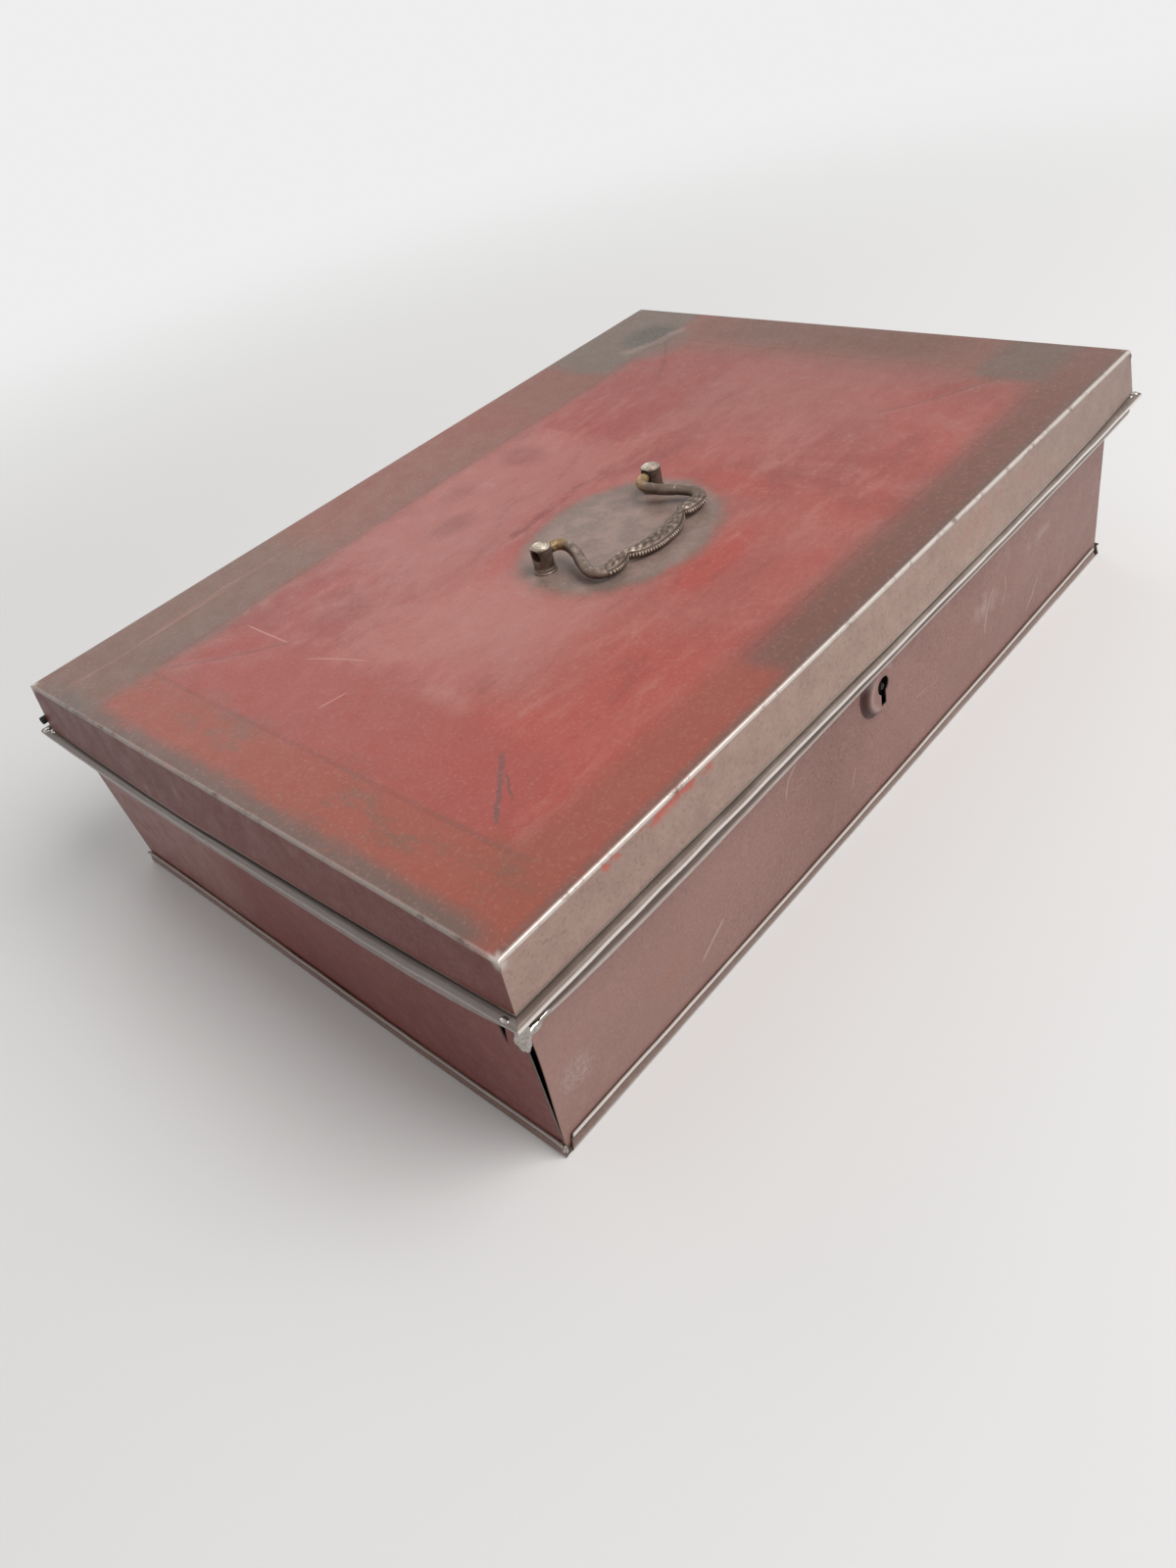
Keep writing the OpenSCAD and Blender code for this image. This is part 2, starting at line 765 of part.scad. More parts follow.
// Lever spring: a thin strip from the case's end wall down onto the lever
module lever_spring() {
    start = [case_left + lock_length - case_inset - case_wall, case_top - spring_drop];
    tip = [lock_x + spring_tip, lever_pivot_z + lever_height / 2 + spring_gap];
    run = start - tip;
    color([0.4, 0.4, 0.42])
        translate([tip[0], lever_face, tip[1]])
            rotate([0, -atan2(run[1], run[0]), 0])
                cube([norm(run) - spring_gap, lever_thickness, spring_thickness]);
}

// Key pin: the hollow key turns on it
module lock_key_pin() {
    color([0.6, 0.56, 0.46])
        rod_y(lock_x, key_z, key_pin_r, -wall_y - boss_height + key_pin_inside,
            case_y - case_wall);
}

// Studs: two guide the bolt, one carries the lever
module lock_studs() {
    color([0.6, 0.56, 0.46]) {
        for (x = stud_places) {
            rod_y(lock_x + x, stud_z, stud_r, plate_face, bolt_face + stud_head_gap);
            rod_y(lock_x + x, stud_z, stud_r + stud_head,
                bolt_face + stud_head_gap, bolt_face + stud_head_gap + stud_head_height);
        }
        rod_y(lever_pivot_x, lever_pivot_z, stud_r,
            plate_face, lever_face + lever_thickness + lever_stud_end);
    }
}

lid_shell();
lid_staple();
handle_bail();
handle_post_left();
handle_post_right();
handle_roves();
hinge_lid_leaf();
hinge_body_leaf();
hinge_wire();
front_panel();
back_panel();
left_end_panel();
right_end_panel();
bottom_pan();
lock_plate();
lock_case();
lock_rivets();
lock_bolt();
lock_lever();
lever_spring();
lock_key_pin();
lock_studs();
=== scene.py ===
"""Looks of an old sheet steel deed box: bent sheet skins, solder, cast handle and worn paint."""

import json
import math

import bmesh
import bpy
from mathutils import Euler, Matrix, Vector, noise


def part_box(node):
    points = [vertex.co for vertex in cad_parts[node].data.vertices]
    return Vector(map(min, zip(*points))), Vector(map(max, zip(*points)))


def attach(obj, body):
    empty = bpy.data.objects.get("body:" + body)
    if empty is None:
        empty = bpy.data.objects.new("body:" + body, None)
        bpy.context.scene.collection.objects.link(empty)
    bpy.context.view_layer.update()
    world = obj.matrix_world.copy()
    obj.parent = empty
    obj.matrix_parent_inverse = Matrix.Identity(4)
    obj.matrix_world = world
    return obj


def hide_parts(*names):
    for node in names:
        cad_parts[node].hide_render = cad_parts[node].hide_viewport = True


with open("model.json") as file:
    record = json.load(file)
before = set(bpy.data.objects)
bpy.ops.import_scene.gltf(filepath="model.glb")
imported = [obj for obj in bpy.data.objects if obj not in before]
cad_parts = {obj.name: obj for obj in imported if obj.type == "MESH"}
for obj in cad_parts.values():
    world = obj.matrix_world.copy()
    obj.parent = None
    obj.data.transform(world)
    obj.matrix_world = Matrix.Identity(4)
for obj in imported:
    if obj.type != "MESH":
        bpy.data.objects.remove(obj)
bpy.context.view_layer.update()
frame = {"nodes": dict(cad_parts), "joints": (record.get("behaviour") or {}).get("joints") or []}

# Sizes are in millimetres, and mesh_piece turns them into the frame's metres
MM = 0.001


def box_mm(node):
    low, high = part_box(node)
    return low / MM, high / MM


LID_LOW, LID_HIGH = box_mm("lid_shell")
RIM_HIGH = box_mm("front_panel")[1]
POST_LOW, POST_HIGH = box_mm("handle_post_left")
SHEET = 0.7
LEDGE_REACH = 5
HALF_X = RIM_HIGH.x - LEDGE_REACH
HALF_Y = LID_HIGH.y
LID_Z = LID_HIGH.z
SKIRT_Z = LID_LOW.z
SKIRT_FLARE = LID_HIGH.x - HALF_X
FOLD_R = 0.9

# The rim: the same section as the frame's, with finer arcs
NECK_HEIGHT = 15.6
LEDGE_Z = RIM_HIGH.z - NECK_HEIGHT
NECK_INSET = 2.2
NOSE_R = 1.6
NOSE_GAP = 0.03
GROOVE_REACH = 0.2
GROOVE_HEIGHT = 1.4
BEAD_R = 4
BEAD_REACH = 1.6
BEAD_X = BEAD_REACH - BEAD_R
BEAD_LOW_ANGLE = math.radians(-60)
BEAD_TOP_ANGLE = math.acos((GROOVE_REACH - BEAD_X) / BEAD_R)
GROOVE_Z = LEDGE_Z - 2 * NOSE_R
BEAD_Z = GROOVE_Z - GROOVE_HEIGHT - BEAD_R * math.sin(BEAD_TOP_ANGLE)
BEAD_LOW_X = BEAD_X + BEAD_R * math.cos(BEAD_LOW_ANGLE)
BEAD_LOW_Z = BEAD_Z + BEAD_R * math.sin(BEAD_LOW_ANGLE)
WALL_SLOPE = 0.7
FOOT_BEND = 3
END_INSET = 2.4
SIDE_INSET = 6.8
TAB_WIDTH = 9
WALL_X = HALF_X - END_INSET
WALL_Y = HALF_Y - SIDE_INSET

# Keyhole and its pressed boss
BOSS_X = -2
BOSS_Z = 54.4
BOSS_R = 12
BOSS_FLAT = 8.6
BOSS_HEIGHT = 3
KEY_Z = BOSS_Z + 2.0
KEY_R = 3.8
KEY_SLOT = 3.5
KEY_DROP = 8.9

# The front's fine mesh round the boss: its ends along the front, and its lowest height
WINDOW_X = (-20, 16)
WINDOW_LOW = 36

# How far each rim has sagged, as (place along it, mm)
SAG = {
    "front": [(-205, 0), (-110, 0.8), (40, 1.2), (150, 1.0), (205, 0.2)],
    "back": [(-205, 1.0), (-165, 0.1), (205, 0)],
    "left": [(-143.5, 0), (-130, 0.9), (-85, 4.2), (0, 5.4), (70, 5.0), (125, 2.8), (143.5, 1.0)],
    "right": [(-143.5, 0.2), (0, 0.8), (143.5, 0)],
}
# How far the edge of each skirt has bulged, and how much less it has sagged than its rim
BULGE = {
    "front": [(-201, 0), (-110, 0.5), (-20, 1.5), (100, 1.9), (165, 1.2), (201, 0)],
    "back": [(-201, 0), (201, 0)],
    "left": [(-139, 0), (-60, 0.5), (30, 1.4), (110, 0.6), (139, 0)],
    "right": [(-139, 0), (0, 0.6), (139, 0)],
}
SKIRT_SAG = 0.74
# How far each bead stands out, how far the front wall's foot bulges, and how far the left
# wall's foot leans in at the back
BEAD_SWELL = {
    "front": [(-205, 1.3), (-110, 1.0), (-10, 0.1), (205, 0)],
    "back": [(-205, 0), (205, 0)],
    "left": [(-143.5, 1.1), (-125, 1.4), (-60, 1.4), (30, 1.3), (100, 1.1), (143.5, 0.2)],
    "right": [(-143.5, 0), (143.5, 0)],
}
FOOT_BULGE = [(-198, 0), (0, 0.8), (198, 0.2)]
LEAN = 2.3

# Handle
POST_X = 34.5
POST_R = 4.2
HANDLE_X = (POST_LOW.x + POST_HIGH.x) / 2 + POST_X
HANDLE_Y = (POST_LOW.y + POST_HIGH.y) / 2
PIVOT_HEIGHT = 7.4
ROVE = 1.0
PIN_R = 2.1
HOLE_R = 2.18
MOUTH_OUT_R = 3.3
MOUTH_IN_R = 3.0
MOUTH_DEPTH = 1.1
BAIL_REACH = 33
BAIL_DROP = 4.8
BAIL_TILT = math.asin(BAIL_DROP / BAIL_REACH)
BAIL_THICK = 2.3

# Camera, fitted to the photograph's view
CAMERA_PLACE = (-0.30148, -0.3202, 0.32094)
CAMERA_TURN = (49.6037, 11.552, -48.671)
CAMERA_LENS = 26.169
FRAME_SENSOR = 36


# Small helpers


def smooth(low, high, value):
    """0 below low, 1 above high, and a smooth step between."""
    t = min(max((value - low) / (high - low), 0), 1)
    return t * t * (3 - 2 * t)


def track(knots, at):
    """A smooth curve through (place, value) knots, level past its ends."""
    at = min(max(at, knots[0][0]), knots[-1][0])
    last = len(knots) - 1
    i = max(k for k in range(last) if knots[k][0] <= at)

    def slope(k):
        (x0, y0), (x1, y1) = knots[max(k - 1, 0)], knots[min(k + 1, last)]
        return (y1 - y0) / (x1 - x0)

    (x0, y0), (x1, y1) = knots[i], knots[i + 1]
    h = x1 - x0
    t = (at - x0) / h
    line = y0 + (y1 - y0) * t * t * (3 - 2 * t)
    return line + h * t * (1 - t) * (slope(i) * (1 - t) - slope(i + 1) * t)


def smooth_turn(low, high, angle):
    """smooth for an angle in radians, between limits in degrees."""
    return smooth(math.radians(low), math.radians(high), angle)


def turns(start, end, steps):
    """Evenly spaced angles from one to another, with both."""
    return [start + (end - start) * i / steps for i in range(steps + 1)]


def circle(around):
    """Evenly spaced angles all round."""
    return [2 * math.pi * k / around for k in range(around)]


def arc(cx, cy, r, start, end, steps):
    """Points of an arc, from one angle to another."""
    return [(cx + r * math.cos(a), cy + r * math.sin(a)) for a in turns(start, end, steps)]


def signed(size, side):
    """A size turned to point the same way as side does."""
    return size if side >= 0 else -size


def even(low, high, steps):
    """Evenly spaced places from low up to, but not at, high."""
    return [low + (high - low) * i / steps for i in range(steps)]


def wave(x, y, z, size, seed):
    """Smooth noise from -1 to 1 with features of about this size."""
    return noise.noise(Vector((x / size + seed * 7.3, y / size, z / size)))


def link(name, mesh):
    obj = bpy.data.objects.new(name, mesh)
    bpy.context.scene.collection.objects.link(obj)
    return obj


def mesh_from(name, points, faces):
    """A mesh from points in mm and faces."""
    mesh = bpy.data.meshes.new(name)
    mesh.from_pydata([Vector(p) * MM for p in points], [], faces)
    return mesh


def set_marks(mesh, marks):
    """Gives each point a value for every mark, for the paints to read."""
    for key, values in marks.items():
        mesh.attributes.new(key, "FLOAT", "POINT").data.foreach_set("value", values)


def mesh_piece(name, points, faces, body, materials, marks=None):
    """A mesh from points in mm and faces, which rides on a body."""
    mesh = mesh_from(name, points, faces)
    set_marks(mesh, marks or {})
    mesh.shade_smooth()
    piece = link(name, mesh)
    for material in materials:
        mesh.materials.append(material)
    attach(piece, body)
    return piece


def grid_faces(rows, columns, wrap=False):
    """Quads between rows of points, each row joined to the next."""
    faces = []
    last = columns if wrap else columns - 1
    for i in range(rows - 1):
        for k in range(last):
            n = (k + 1) % columns
            faces.append((i * columns + k, i * columns + n, (i + 1) * columns + n, (i + 1) * columns + k))
    return faces


def shifted(faces, start, flip=False):
    """Faces for points that begin at start, turned over if flip."""
    return [tuple(start + k for k in (reversed(f) if flip else f)) for f in faces]


def tube_faces(rings, around, start=0):
    """Faces of a tube from ring to ring of points, closed at both ends."""
    ends = [tuple(reversed(range(around))), tuple((rings - 1) * around + k for k in range(around))]
    return shifted(grid_faces(rings, around, wrap=True) + ends, start)


def joined(inner, outer):
    """Quads from one closed row of points to the next."""
    count = len(inner)
    return [(inner[k], outer[k], outer[(k + 1) % count], inner[(k + 1) % count]) for k in range(count)]


def thicken(piece, thickness=SHEET):
    """Gives a skin its sheet thickness, inwards, with its second material inside."""
    modifier = piece.modifiers.new("sheet", "SOLIDIFY")
    modifier.thickness = thickness * MM
    modifier.offset = -1
    modifier.material_offset = 1
    modifier.material_offset_rim = 1


def keep_sharp(piece, degrees=50):
    """Smooth shading, with edges sharper than this left crisp."""
    piece.data.set_sharp_from_angle(angle=math.radians(degrees))


def drop_loose(piece):
    """Takes out points that no face uses."""
    work = bmesh.new()
    work.from_mesh(piece.data)
    bmesh.ops.delete(work, geom=[v for v in work.verts if not v.link_faces], context="VERTS")
    work.to_mesh(piece.data)
    work.free()


def fix_winding(piece):
    """Turns a closed piece's faces so that they all look outwards."""
    work = bmesh.new()
    work.from_mesh(piece.data)
    bmesh.ops.recalc_face_normals(work, faces=work.faces)
    work.to_mesh(piece.data)
    work.free()


# Node materials


class Nodes:
    """Builds a node tree."""

    def __init__(self, tree):
        self.tree = tree

    def add(self, kind, **settings):
        node = self.tree.nodes.new(kind)
        for key, value in settings.items():
            setattr(node, key, value)
        return node

    def join(self, source, target):
        if hasattr(source, "is_output"):
            self.tree.links.new(source, target)
        else:
            target.default_value = source

    def math(self, operation, a, b=0.0):
        node = self.add("ShaderNodeMath", operation=operation)
        self.join(a, node.inputs[0])
        self.join(b, node.inputs[1])
        return node.outputs[0]

    def plus(self, a, b):
        return self.math("ADD", a, b)

    def less(self, a, b):
        return self.math("SUBTRACT", a, b)

    def times(self, *shares):
        product = shares[0]
        for share in shares[1:]:
            product = self.math("MULTIPLY", product, share)
        return product

    def most(self, *shares):
        peak = shares[0]
        for share in shares[1:]:
            peak = self.math("MAXIMUM", peak, share)
        return peak

    def step(self, value, low, high, to_low=0.0, to_high=1.0):
        """A smooth step from to_low at low to to_high at high."""
        node = self.add("ShaderNodeMapRange", interpolation_type="SMOOTHSTEP")
        for socket, x in zip(node.inputs, (value, low, high, to_low, to_high)):
            self.join(x, socket)
        return node.outputs[0]

    def band(self, value, low, high, soft):
        """1 between low and high, with soft edges."""
        rise = self.step(value, low - soft, low + soft)
        return self.times(rise, self.step(value, high + soft, high - soft))

    def noise(self, size, detail, rough, distort=0.0, vector=None, output="Fac"):
        """Noise with features of about this size in mm."""
        node = self.add("ShaderNodeTexNoise")
        self.join(vector or self.place, node.inputs["Vector"])
        settings = {"Scale": 1 / size, "Detail": detail, "Roughness": rough, "Distortion": distort}
        for key, value in settings.items():
            node.inputs[key].default_value = value
        return node.outputs[output]

    def streaks(self, size, detail, rough, turn, scale):
        """Noise stretched along axes that are turned by so many degrees."""
        node = self.add("ShaderNodeMapping")
        self.join(self.place, node.inputs["Vector"])
        node.inputs["Rotation"].default_value = [math.radians(a) for a in turn]
        node.inputs["Scale"].default_value = scale
        return self.noise(size, detail, rough, vector=node.outputs[0])

    def mix(self, share, a, b, blend="MIX"):
        node = self.add("ShaderNodeMix", data_type="RGBA", blend_type=blend)
        self.join(share, node.inputs[0])
        self.join(a, node.inputs[6])
        self.join(b, node.inputs[7])
        return node.outputs[2]

    def layered(self, colour, *layers):
        """Each layer, as (share, red, green, blue), laid over the colour in turn."""
        for share, *tone in layers:
            colour = self.mix(share, colour, rgb(*tone))
        return colour

    def axes(self, vector=None):
        node = self.add("ShaderNodeSeparateXYZ")
        self.join(vector or self.place, node.inputs[0])
        return node.outputs

    def shaken(self, size, reach):
        """Places shaken by noise, so that what is drawn with them has ragged edges."""
        centred = self.add("ShaderNodeVectorMath", operation="SUBTRACT")
        self.join(self.noise(size, 5, 0.6, output="Color"), centred.inputs[0])
        centred.inputs[1].default_value = (0.5, 0.5, 0.5)
        moved = self.add("ShaderNodeVectorMath", operation="MULTIPLY_ADD")
        self.join(centred.outputs[0], moved.inputs[0])
        moved.inputs[1].default_value = (reach, reach, reach)
        self.join(self.place, moved.inputs[2])
        return moved.outputs[0]

    def flat(self, place, normal_axis):
        """The two coordinates of a place across one axis."""
        outs = self.axes(place)
        return [outs[k] for k in range(3) if k != normal_axis]

    def patch(self, pair, across, up, soft):
        """A soft rectangle in two coordinates."""
        return self.times(self.band(pair[0], *across, soft), self.band(pair[1], *up, soft))

    def oval(self, pair, middle, radii, soft, *shares):
        """1, or the shares, inside an oval and 0 outside, with a soft edge as a share of its radius."""
        parts = []
        for value, centre, radius in zip(pair, middle, radii):
            part = self.math("DIVIDE", self.less(value, centre), radius)
            parts.append(self.times(part, part))
        distance = self.math("SQRT", self.plus(*parts))
        return self.times(self.step(distance, 1 + soft, 1 - soft), *shares)

    def stroke(self, pair, start, end, width, bend=0.0):
        """A thin line from start to end, bowed sideways by bend at its middle."""
        dx, dy = end[0] - start[0], end[1] - start[1]
        length = math.hypot(dx, dy)
        dx, dy = dx / length, dy / length
        x, y = self.less(pair[0], start[0]), self.less(pair[1], start[1])
        along = self.plus(self.times(x, dx), self.times(y, dy))
        side = self.less(self.times(y, dx), self.times(x, dy))
        if bend:
            share = self.math("DIVIDE", along, length)
            side = self.less(side, self.times(share, self.less(1.0, share), 4.0 * bend))
        line = self.step(self.math("ABSOLUTE", side), width, 0.25 * width)
        ends = min(6.0, 0.2 * length)
        return self.times(line, self.band(along, ends / 2, length - ends / 2, ends / 2))

    def mark(self, name):
        """A value that the mesh carries at each point."""
        return self.add("ShaderNodeAttribute", attribute_name=name).outputs["Fac"]

    def bump(self, height, strength, distance, normal=None):
        node = self.add("ShaderNodeBump")
        node.inputs["Strength"].default_value = strength
        node.inputs["Distance"].default_value = distance * MM
        self.join(height, node.inputs["Height"])
        if normal is not None:
            self.join(normal, node.inputs["Normal"])
        return node.outputs[0]


class Paint(Nodes):
    """Builds one material round a principled shader. Its places are in mm."""

    def __init__(self, name):
        self.material = bpy.data.materials.new(name)
        self.material.use_nodes = True
        super().__init__(self.material.node_tree)
        self.tree.nodes.clear()
        self.shader = self.add("ShaderNodeBsdfPrincipled")
        self.out = self.add("ShaderNodeOutputMaterial")
        self.join(self.shader.outputs["BSDF"], self.out.inputs["Surface"])
        scale = self.add("ShaderNodeVectorMath", operation="SCALE")
        self.join(self.add("ShaderNodeTexCoord").outputs["Object"], scale.inputs[0])
        scale.inputs["Scale"].default_value = 1 / MM
        self.place = scale.outputs[0]

    def finish(self, colour, rough, metallic=0.0, normal=None, **uniform):
        sockets = self.shader.inputs
        self.join(colour, sockets["Base Color"])
        self.join(rough, sockets["Roughness"])
        self.join(metallic, sockets["Metallic"])
        if normal is not None:
            self.join(normal, sockets["Normal"])
        for key, value in uniform.items():
            sockets[key.replace("_", " ")].default_value = value
        return self.material


def rgb(red, green, blue):
    """A colour as it looks on screen, 0 to 255, as the linear colour that the shader takes."""
    linear = []
    for value in (red, green, blue):
        v = value / 255
        linear.append(v / 12.92 if v <= 0.04045 else ((v + 0.055) / 1.055) ** 2.4)
    return (*linear, 1)


def plain_metal(name, dark, light, size, rough, metallic):
    """Dull mottled metal: two colours in soft clouds with fine grain."""
    n = Paint(name)
    cloud = n.step(n.noise(size, 5, 0.6), 0.35, 0.65)
    grain = n.noise(size / 14, 3, 0.7)
    colour = n.mix(cloud, rgb(*dark), rgb(*light))
    colour = n.mix(n.step(grain, 0.35, 0.75, 0.0, 0.4), colour, rgb(*(0.6 * c for c in dark)))
    normal = n.bump(grain, 0.3, 0.1)
    return n.finish(colour, n.step(cloud, 0, 1, rough + 0.06, rough - 0.06), metallic, normal)


def inside_paint():
    """Dark japan inside the box and the lid, rubbed thin in clouds."""
    n = Paint("inside_paint")
    cloud = n.step(n.noise(60, 5, 0.6), 0.35, 0.7)
    rub = n.streaks(9, 4, 0.7, (0, 0, 20), (1, 0.2, 1))
    colour = n.mix(cloud, rgb(84, 68, 60), rgb(106, 88, 77))
    colour = n.layered(colour, (n.step(rub, 0.55, 0.8, 0, 0.6), 128, 112, 100))
    return n.finish(colour, 0.45, 0.1, n.bump(rub, 0.15, 0.1))


def front_marks(n, colour, scratched):
    """The front's marks: painted light, lighter to the left and darker to the right; the boss's painted
    shade and highlights; smudges, rust and scratches: (colour, scratches).
    """
    x = n.axes()[0]
    pair = n.flat(n.shaken(6, 2.5), 1)
    clean = n.flat(n.place, 1)
    middle = (BOSS_X, BOSS_Z)

    def round_boss(r, soft):
        return n.oval(clean, middle, (r, r), soft)

    # Masks for the boss's painted shade on its left flank and its painted highlights on the lip and upper
    # flank
    outer, inner = round_boss(12.1, 0.03), round_boss(8.9, 0.16)
    flank = n.less(outer, inner)
    on_left = n.times(n.step(clean[0], BOSS_X - 1, BOSS_X - 5), n.step(clean[1], BOSS_Z + 12, BOSS_Z + 6))
    lip = n.less(inner, round_boss(7.2, 0.3))
    upper = n.times(n.step(clean[1], BOSS_Z + 3, BOSS_Z + 8), n.step(n.mottle, 0.35, 0.6))
    smudge = n.oval(pair, (-183, 28), (7, 6), 0.5, n.step(n.speckle, 0.35, 0.6))
    smears = n.most(n.patch(pair, (122, 143), (44, 47), 2.5), n.oval(pair, (84, 40), (9, 5), 0.8))
    rust = n.oval(pair, (-135, 26), (8, 5), 0.6, n.step(n.speckle, 0.45, 0.6))
    lines = n.most(
        n.stroke(pair, (-122, 17), (-106, 27), 0.8),
        n.stroke(pair, (-64, 46), (-54, 58), 0.6, 2.5),
        n.stroke(pair, (83, 24), (92, 46), 0.7, 3),
        n.stroke(pair, (97, 30), (101, 45), 0.5, -1.5),
        n.stroke(pair, (121, 12), (134, 27), 0.7, -2),
        n.stroke(pair, (-24, 20), (-20, 30), 0.4),
    )
    colour = n.layered(
        colour,
        # Painted light: the front is painted lighter towards its left end and darker towards its right end
        (n.step(x, 0, -190, 0, 0.4), 168, 134, 126),
        (n.step(x, 50, 190, 0, 0.4), 128, 100, 94),
        # Painted shade on the boss's left flank, then painted highlights on its left lip and upper flank
        (n.times(flank, on_left, 0.95), 66, 33, 29),
        (n.times(lip, on_left, 0.5), 188, 168, 164),
        (n.times(flank, upper, 0.5), 178, 160, 156),
        (n.times(smudge, 0.4), 176, 160, 154),
        (n.times(smears, n.step(n.mottle, 0.4, 0.6), 0.38), 180, 162, 156),
        (n.times(rust, 0.35), 172, 112, 70),
    )
    return colour, n.most(scratched, lines)


def left_marks(n, colour, scratched):
    """The near end's paint, paler towards the back: (colour, scratches)."""
    pair = n.flat(n.shaken(26, 14), 0)
    pale = n.times(n.patch(pair, (40, 150), (8, 90), 16), n.step(n.mottle, 0.3, 0.6, 0.5, 1))
    return n.layered(colour, (n.times(pale, 0.5), 158, 122, 116)), scratched


def body_paint(name, dark, light, fleck, tin_share=1.0, marks=None):
    """Old brown paint: fine speckle, scratches and its side's own marks, worn to tin along the rim, with
    painted highlights on the rim's crests and painted shade in its hollows and creases.
    """
    n = Paint(name)
    rim, wear_and_highlight, painted_shade = n.mark("rim"), n.mark("wear_and_highlight"), n.mark("painted_shade")
    cloud = n.step(n.noise(110, 5, 0.62, 0.5), 0.3, 0.7)
    n.speckle, n.mottle = n.noise(1.15, 5, 0.74), n.noise(7, 5, 0.7)
    colour = n.mix(cloud, rgb(*dark), rgb(*light))
    colour = n.layered(
        colour,
        (n.step(n.speckle, 0.5, 0.68, 0, 0.5), *fleck),
        (n.step(n.speckle, 0.47, 0.33, 0, 0.6), *(0.74 * c for c in dark)),
        (n.step(n.mottle, 0.56, 0.75, 0, 0.4), *(min(1.12 * c, 255) for c in light)),
    )
    hair = n.streaks(14, 6, 0.8, (35, 40, 25), (0.05, 1.2, 0.7))
    scratched = n.step(hair, 0.655, 0.70, 0, 0.5)
    if marks:
        colour, scratched = marks(n, colour, scratched)
    colour = n.layered(colour, (n.times(scratched, 0.5), 190, 170, 158))
    tin_cloud = n.noise(26, 5, 0.7)
    tins = [rgb(*(tin_share * c for c in tone)) for tone in ((106, 94, 86), (136, 124, 115))]
    tin = n.mix(n.step(tin_cloud, 0.35, 0.7), *tins)
    stain = n.times(n.step(n.noise(5, 5, 0.75), 0.6, 0.72), 0.7)
    # The near-white layer: wear to bright tin and a painted highlight on the rim's crests
    tin = n.layered(tin, (stain, 96, 76, 62), (n.times(wear_and_highlight, 0.95 * tin_share ** 3), 232, 224, 218))
    bare = n.times(n.step(n.plus(rim, n.times(n.mottle, 0.3)), 0.45, 0.85), 0.92)
    colour = n.mix(bare, colour, tin)
    # Painted shade: dark brown in the rim's groove, under its nose and under the lid's edge, and in the
    # flange's creases
    colour = n.layered(colour, (n.times(painted_shade, 0.85), 62, 50, 44))
    height = n.plus(n.times(n.speckle, 0.5), n.times(scratched, -0.5))
    normal = n.bump(height, 0.35, 0.12, n.bump(n.mottle, 0.12, 0.5))
    rough = n.less(n.step(n.mottle, 0.3, 0.7, 0.5, 0.4), n.times(wear_and_highlight, 0.14))
    return n.finish(colour, rough, n.times(bare, 0.22), normal, Specular_IOR_Level=0.35)


